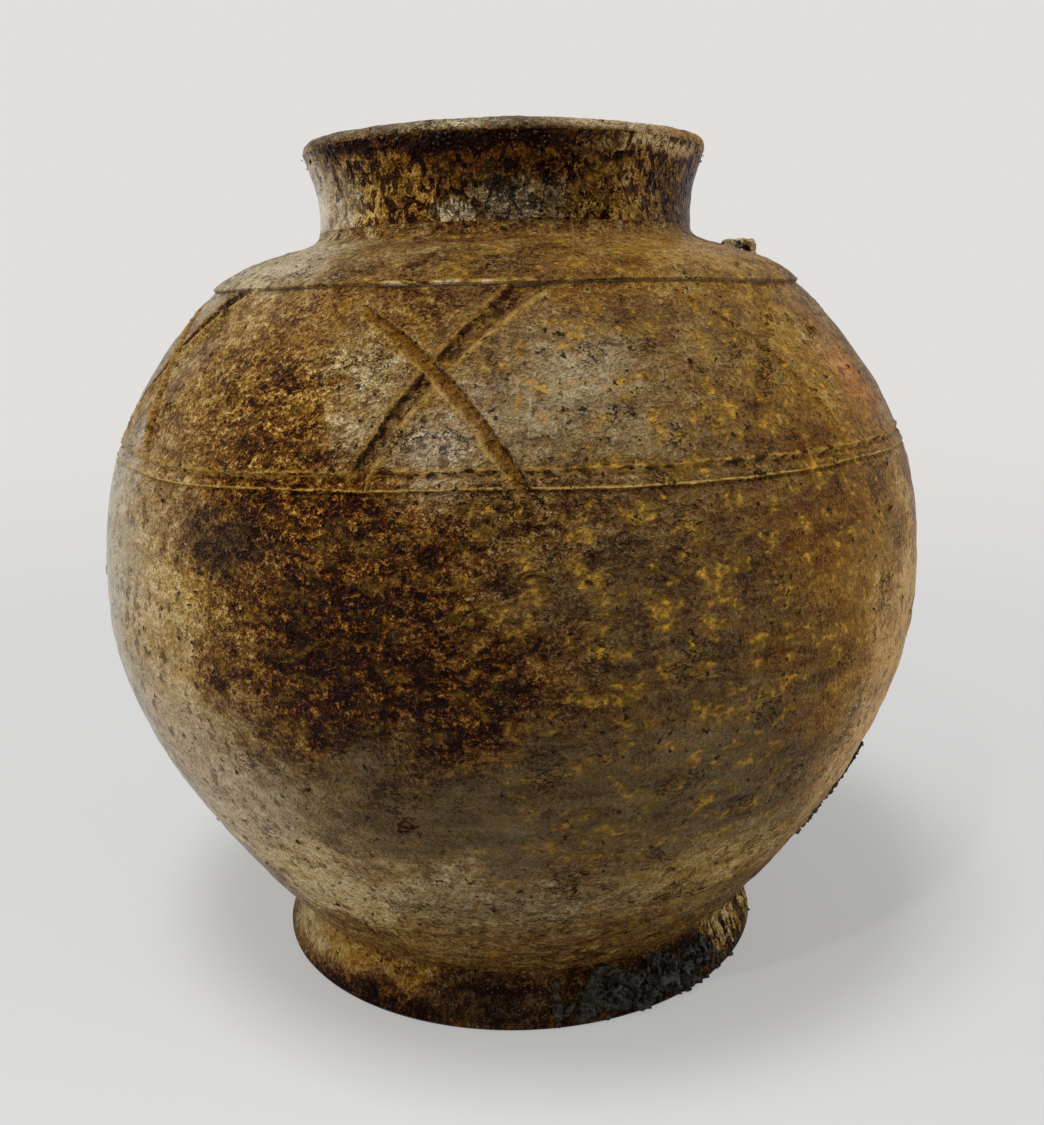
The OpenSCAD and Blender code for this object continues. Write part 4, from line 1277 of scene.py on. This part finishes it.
class JAR_OT_stage(bpy.types.Operator):
    """Builds the floor, the backdrop, the lamps and the camera."""

    bl_idname = "jar.stage"
    bl_label = "Stage"

    def execute(self, context):
        self.sweep()
        self.lamp("left", (-1.6, -0.3, 0.5), 1.6, 16.0)
        self.lamp("right", (1.6, -0.2, 0.6), 1.4, 13.0)
        self.lamp("overhead", (-0.25, -0.45, 1.7), 0.5, 18.0)
        self.lamp("glint", (-0.5, -1.0, 1.2), 0.06, 3.5)
        world = bpy.data.worlds.new("studio")
        world.use_nodes = True
        world.node_tree.nodes.clear()
        nodes = Shader(world.node_tree)
        path = nodes.add("ShaderNodeLightPath").outputs
        seen = nodes.math("MAXIMUM", path["Is Camera Ray"], path["Is Glossy Ray"])
        pale = context.scene.jar_colours.backdrop
        sky = nodes.add("ShaderNodeBackground", {}, Color=(1.0, 1.0, 1.0, 1.0), Strength=0.20)
        wall = nodes.add("ShaderNodeBackground", {}, Color=pale, Strength=1.0)
        both = nodes.add("ShaderNodeMixShader", {}, i0=seen, i1=sky.outputs[0], i2=wall.outputs[0])
        nodes.add("ShaderNodeOutputWorld", {}, Surface=both.outputs[0])
        context.scene.world = world
        context.scene.view_settings.view_transform = "Standard"
        self.camera(context)
        return {"FINISHED"}

    def sweep(self):
        """Floor that curves up into the backdrop: a flat run, a quarter circle and a wall."""
        bend, back, front, half = 0.9, 1.1, -1.6, 3.0
        angle = np.radians(np.linspace(0, 90, 40))
        y = np.concatenate([[front], back + bend * np.sin(angle), [back + bend]])
        z = np.concatenate([[0], bend * (1 - np.cos(angle)), [3.2]])
        x = np.linspace(-half, half, 2)
        p = np.stack(np.broadcast_arrays(x[None, :], y[:, None], z[:, None]), -1).reshape(-1, 3)
        mesh = bpy.data.meshes.new("floor")
        mesh.from_pydata(p.tolist(), [], wrapped_faces(len(y), 2, False, False).tolist())
        mesh.shade_smooth()
        mesh.materials.append(self.paper())
        floor = bpy.data.objects.new("floor", mesh)
        bpy.context.scene.collection.objects.link(floor)

    def paper(self):
        """Lit paper near the jar, which keeps its shadow, and an even pale tone further away."""
        c = bpy.context.scene.jar_colours
        material = bpy.data.materials.new("paper")
        material.use_nodes = True
        material.node_tree.nodes.clear()
        nodes = Shader(material.node_tree)
        place = nodes.add("ShaderNodeTexCoord").outputs["Object"]
        away = nodes.add("ShaderNodeVectorMath", {"operation": "LENGTH"}, i0=place).outputs["Value"]
        path = nodes.add("ShaderNodeLightPath").outputs
        far = nodes.span(away, 0.15, 0.75, 0.0, 1.0)
        seen = nodes.math("MAXIMUM", path["Is Camera Ray"], nodes.math("MULTIPLY", far, path["Is Glossy Ray"]))
        share = nodes.math("MULTIPLY", nodes.span(far, 0.0, 1.0, 0.45, 1.0), seen)
        lit = nodes.add("ShaderNodeBsdfDiffuse", {}, Color=c.floor)
        even_tone = nodes.mix(nodes.span(away, 0.3, 1.6), c.floor, c.backdrop)
        glow = nodes.add("ShaderNodeEmission", {}, Color=even_tone, Strength=1.0)
        both = nodes.add("ShaderNodeMixShader", {}, i0=share, i1=lit.outputs[0], i2=glow.outputs[0])
        nodes.add("ShaderNodeOutputMaterial", {}, Surface=both.outputs[0])
        return material

    def lamp(self, name, place, size, power):
        data = bpy.data.lights.new(name, "AREA")
        data.shape = "SQUARE"
        data.size = size
        data.energy = power
        lamp = bpy.data.objects.new(name, data)
        lamp.location = place
        way = Vector((0, 0, 0.15)) - Vector(place)
        lamp.rotation_euler = way.to_track_quat("-Z", "Y").to_euler()
        bpy.context.scene.collection.objects.link(lamp)

    def camera(self, context):
        data = bpy.data.cameras.new("camera")
        data.sensor_width = SENSOR
        data.sensor_fit = "HORIZONTAL"
        data.lens = SENSOR * FOCAL_SHARE
        camera = bpy.data.objects.new("camera", data)
        turn = Matrix.Rotation(radians(90 - CAMERA_PITCH), 4, "X") @ Matrix.Rotation(radians(CAMERA_ROLL), 4, "Z")
        camera.matrix_world = Matrix.Translation(CAMERA_PLACE) @ turn
        context.scene.collection.objects.link(camera)
        context.scene.camera = camera


OPERATORS = [JAR_OT_foot, JAR_OT_lower_belly, JAR_OT_upper_belly, JAR_OT_shoulder, JAR_OT_neck,
             JAR_OT_lip, JAR_OT_lug, JAR_OT_crusts, JAR_OT_blisters, JAR_OT_drips, JAR_OT_inside,
             JAR_OT_stage]


class JAR_PT_panel(bpy.types.Panel):
    """Lists the jar's pieces and sizes in the sidebar."""

    bl_idname = "JAR_PT_panel"
    bl_label = "Martaban jar"
    bl_space_type = "VIEW_3D"
    bl_region_type = "UI"
    bl_category = "Jar"

    def draw(self, context):
        for group in (context.scene.jar_sizes, context.scene.jar_colours):
            for name in group.__annotations__:
                self.layout.prop(group, name)
        for operator in OPERATORS:
            self.layout.operator(operator.bl_idname)


CLASSES = [JarSizes, JarColours, *OPERATORS, JAR_PT_panel]


def register():
    for cls in CLASSES:
        bpy.utils.register_class(cls)
    bpy.types.Scene.jar_sizes = PointerProperty(type=JarSizes)
    bpy.types.Scene.jar_colours = PointerProperty(type=JarColours)


def unregister():
    del bpy.types.Scene.jar_sizes
    del bpy.types.Scene.jar_colours
    for cls in reversed(CLASSES):
        bpy.utils.unregister_class(cls)


def main():
    register()
    bpy.ops.jar.foot()
    bpy.ops.jar.lower_belly()
    bpy.ops.jar.upper_belly()
    bpy.ops.jar.shoulder()
    bpy.ops.jar.neck()
    bpy.ops.jar.lip()
    bpy.ops.jar.lug()
    bpy.ops.jar.crusts()
    bpy.ops.jar.blisters()
    bpy.ops.jar.drips()
    bpy.ops.jar.inside()
    bpy.ops.jar.stage()


if __name__ == "__main__":
    main()
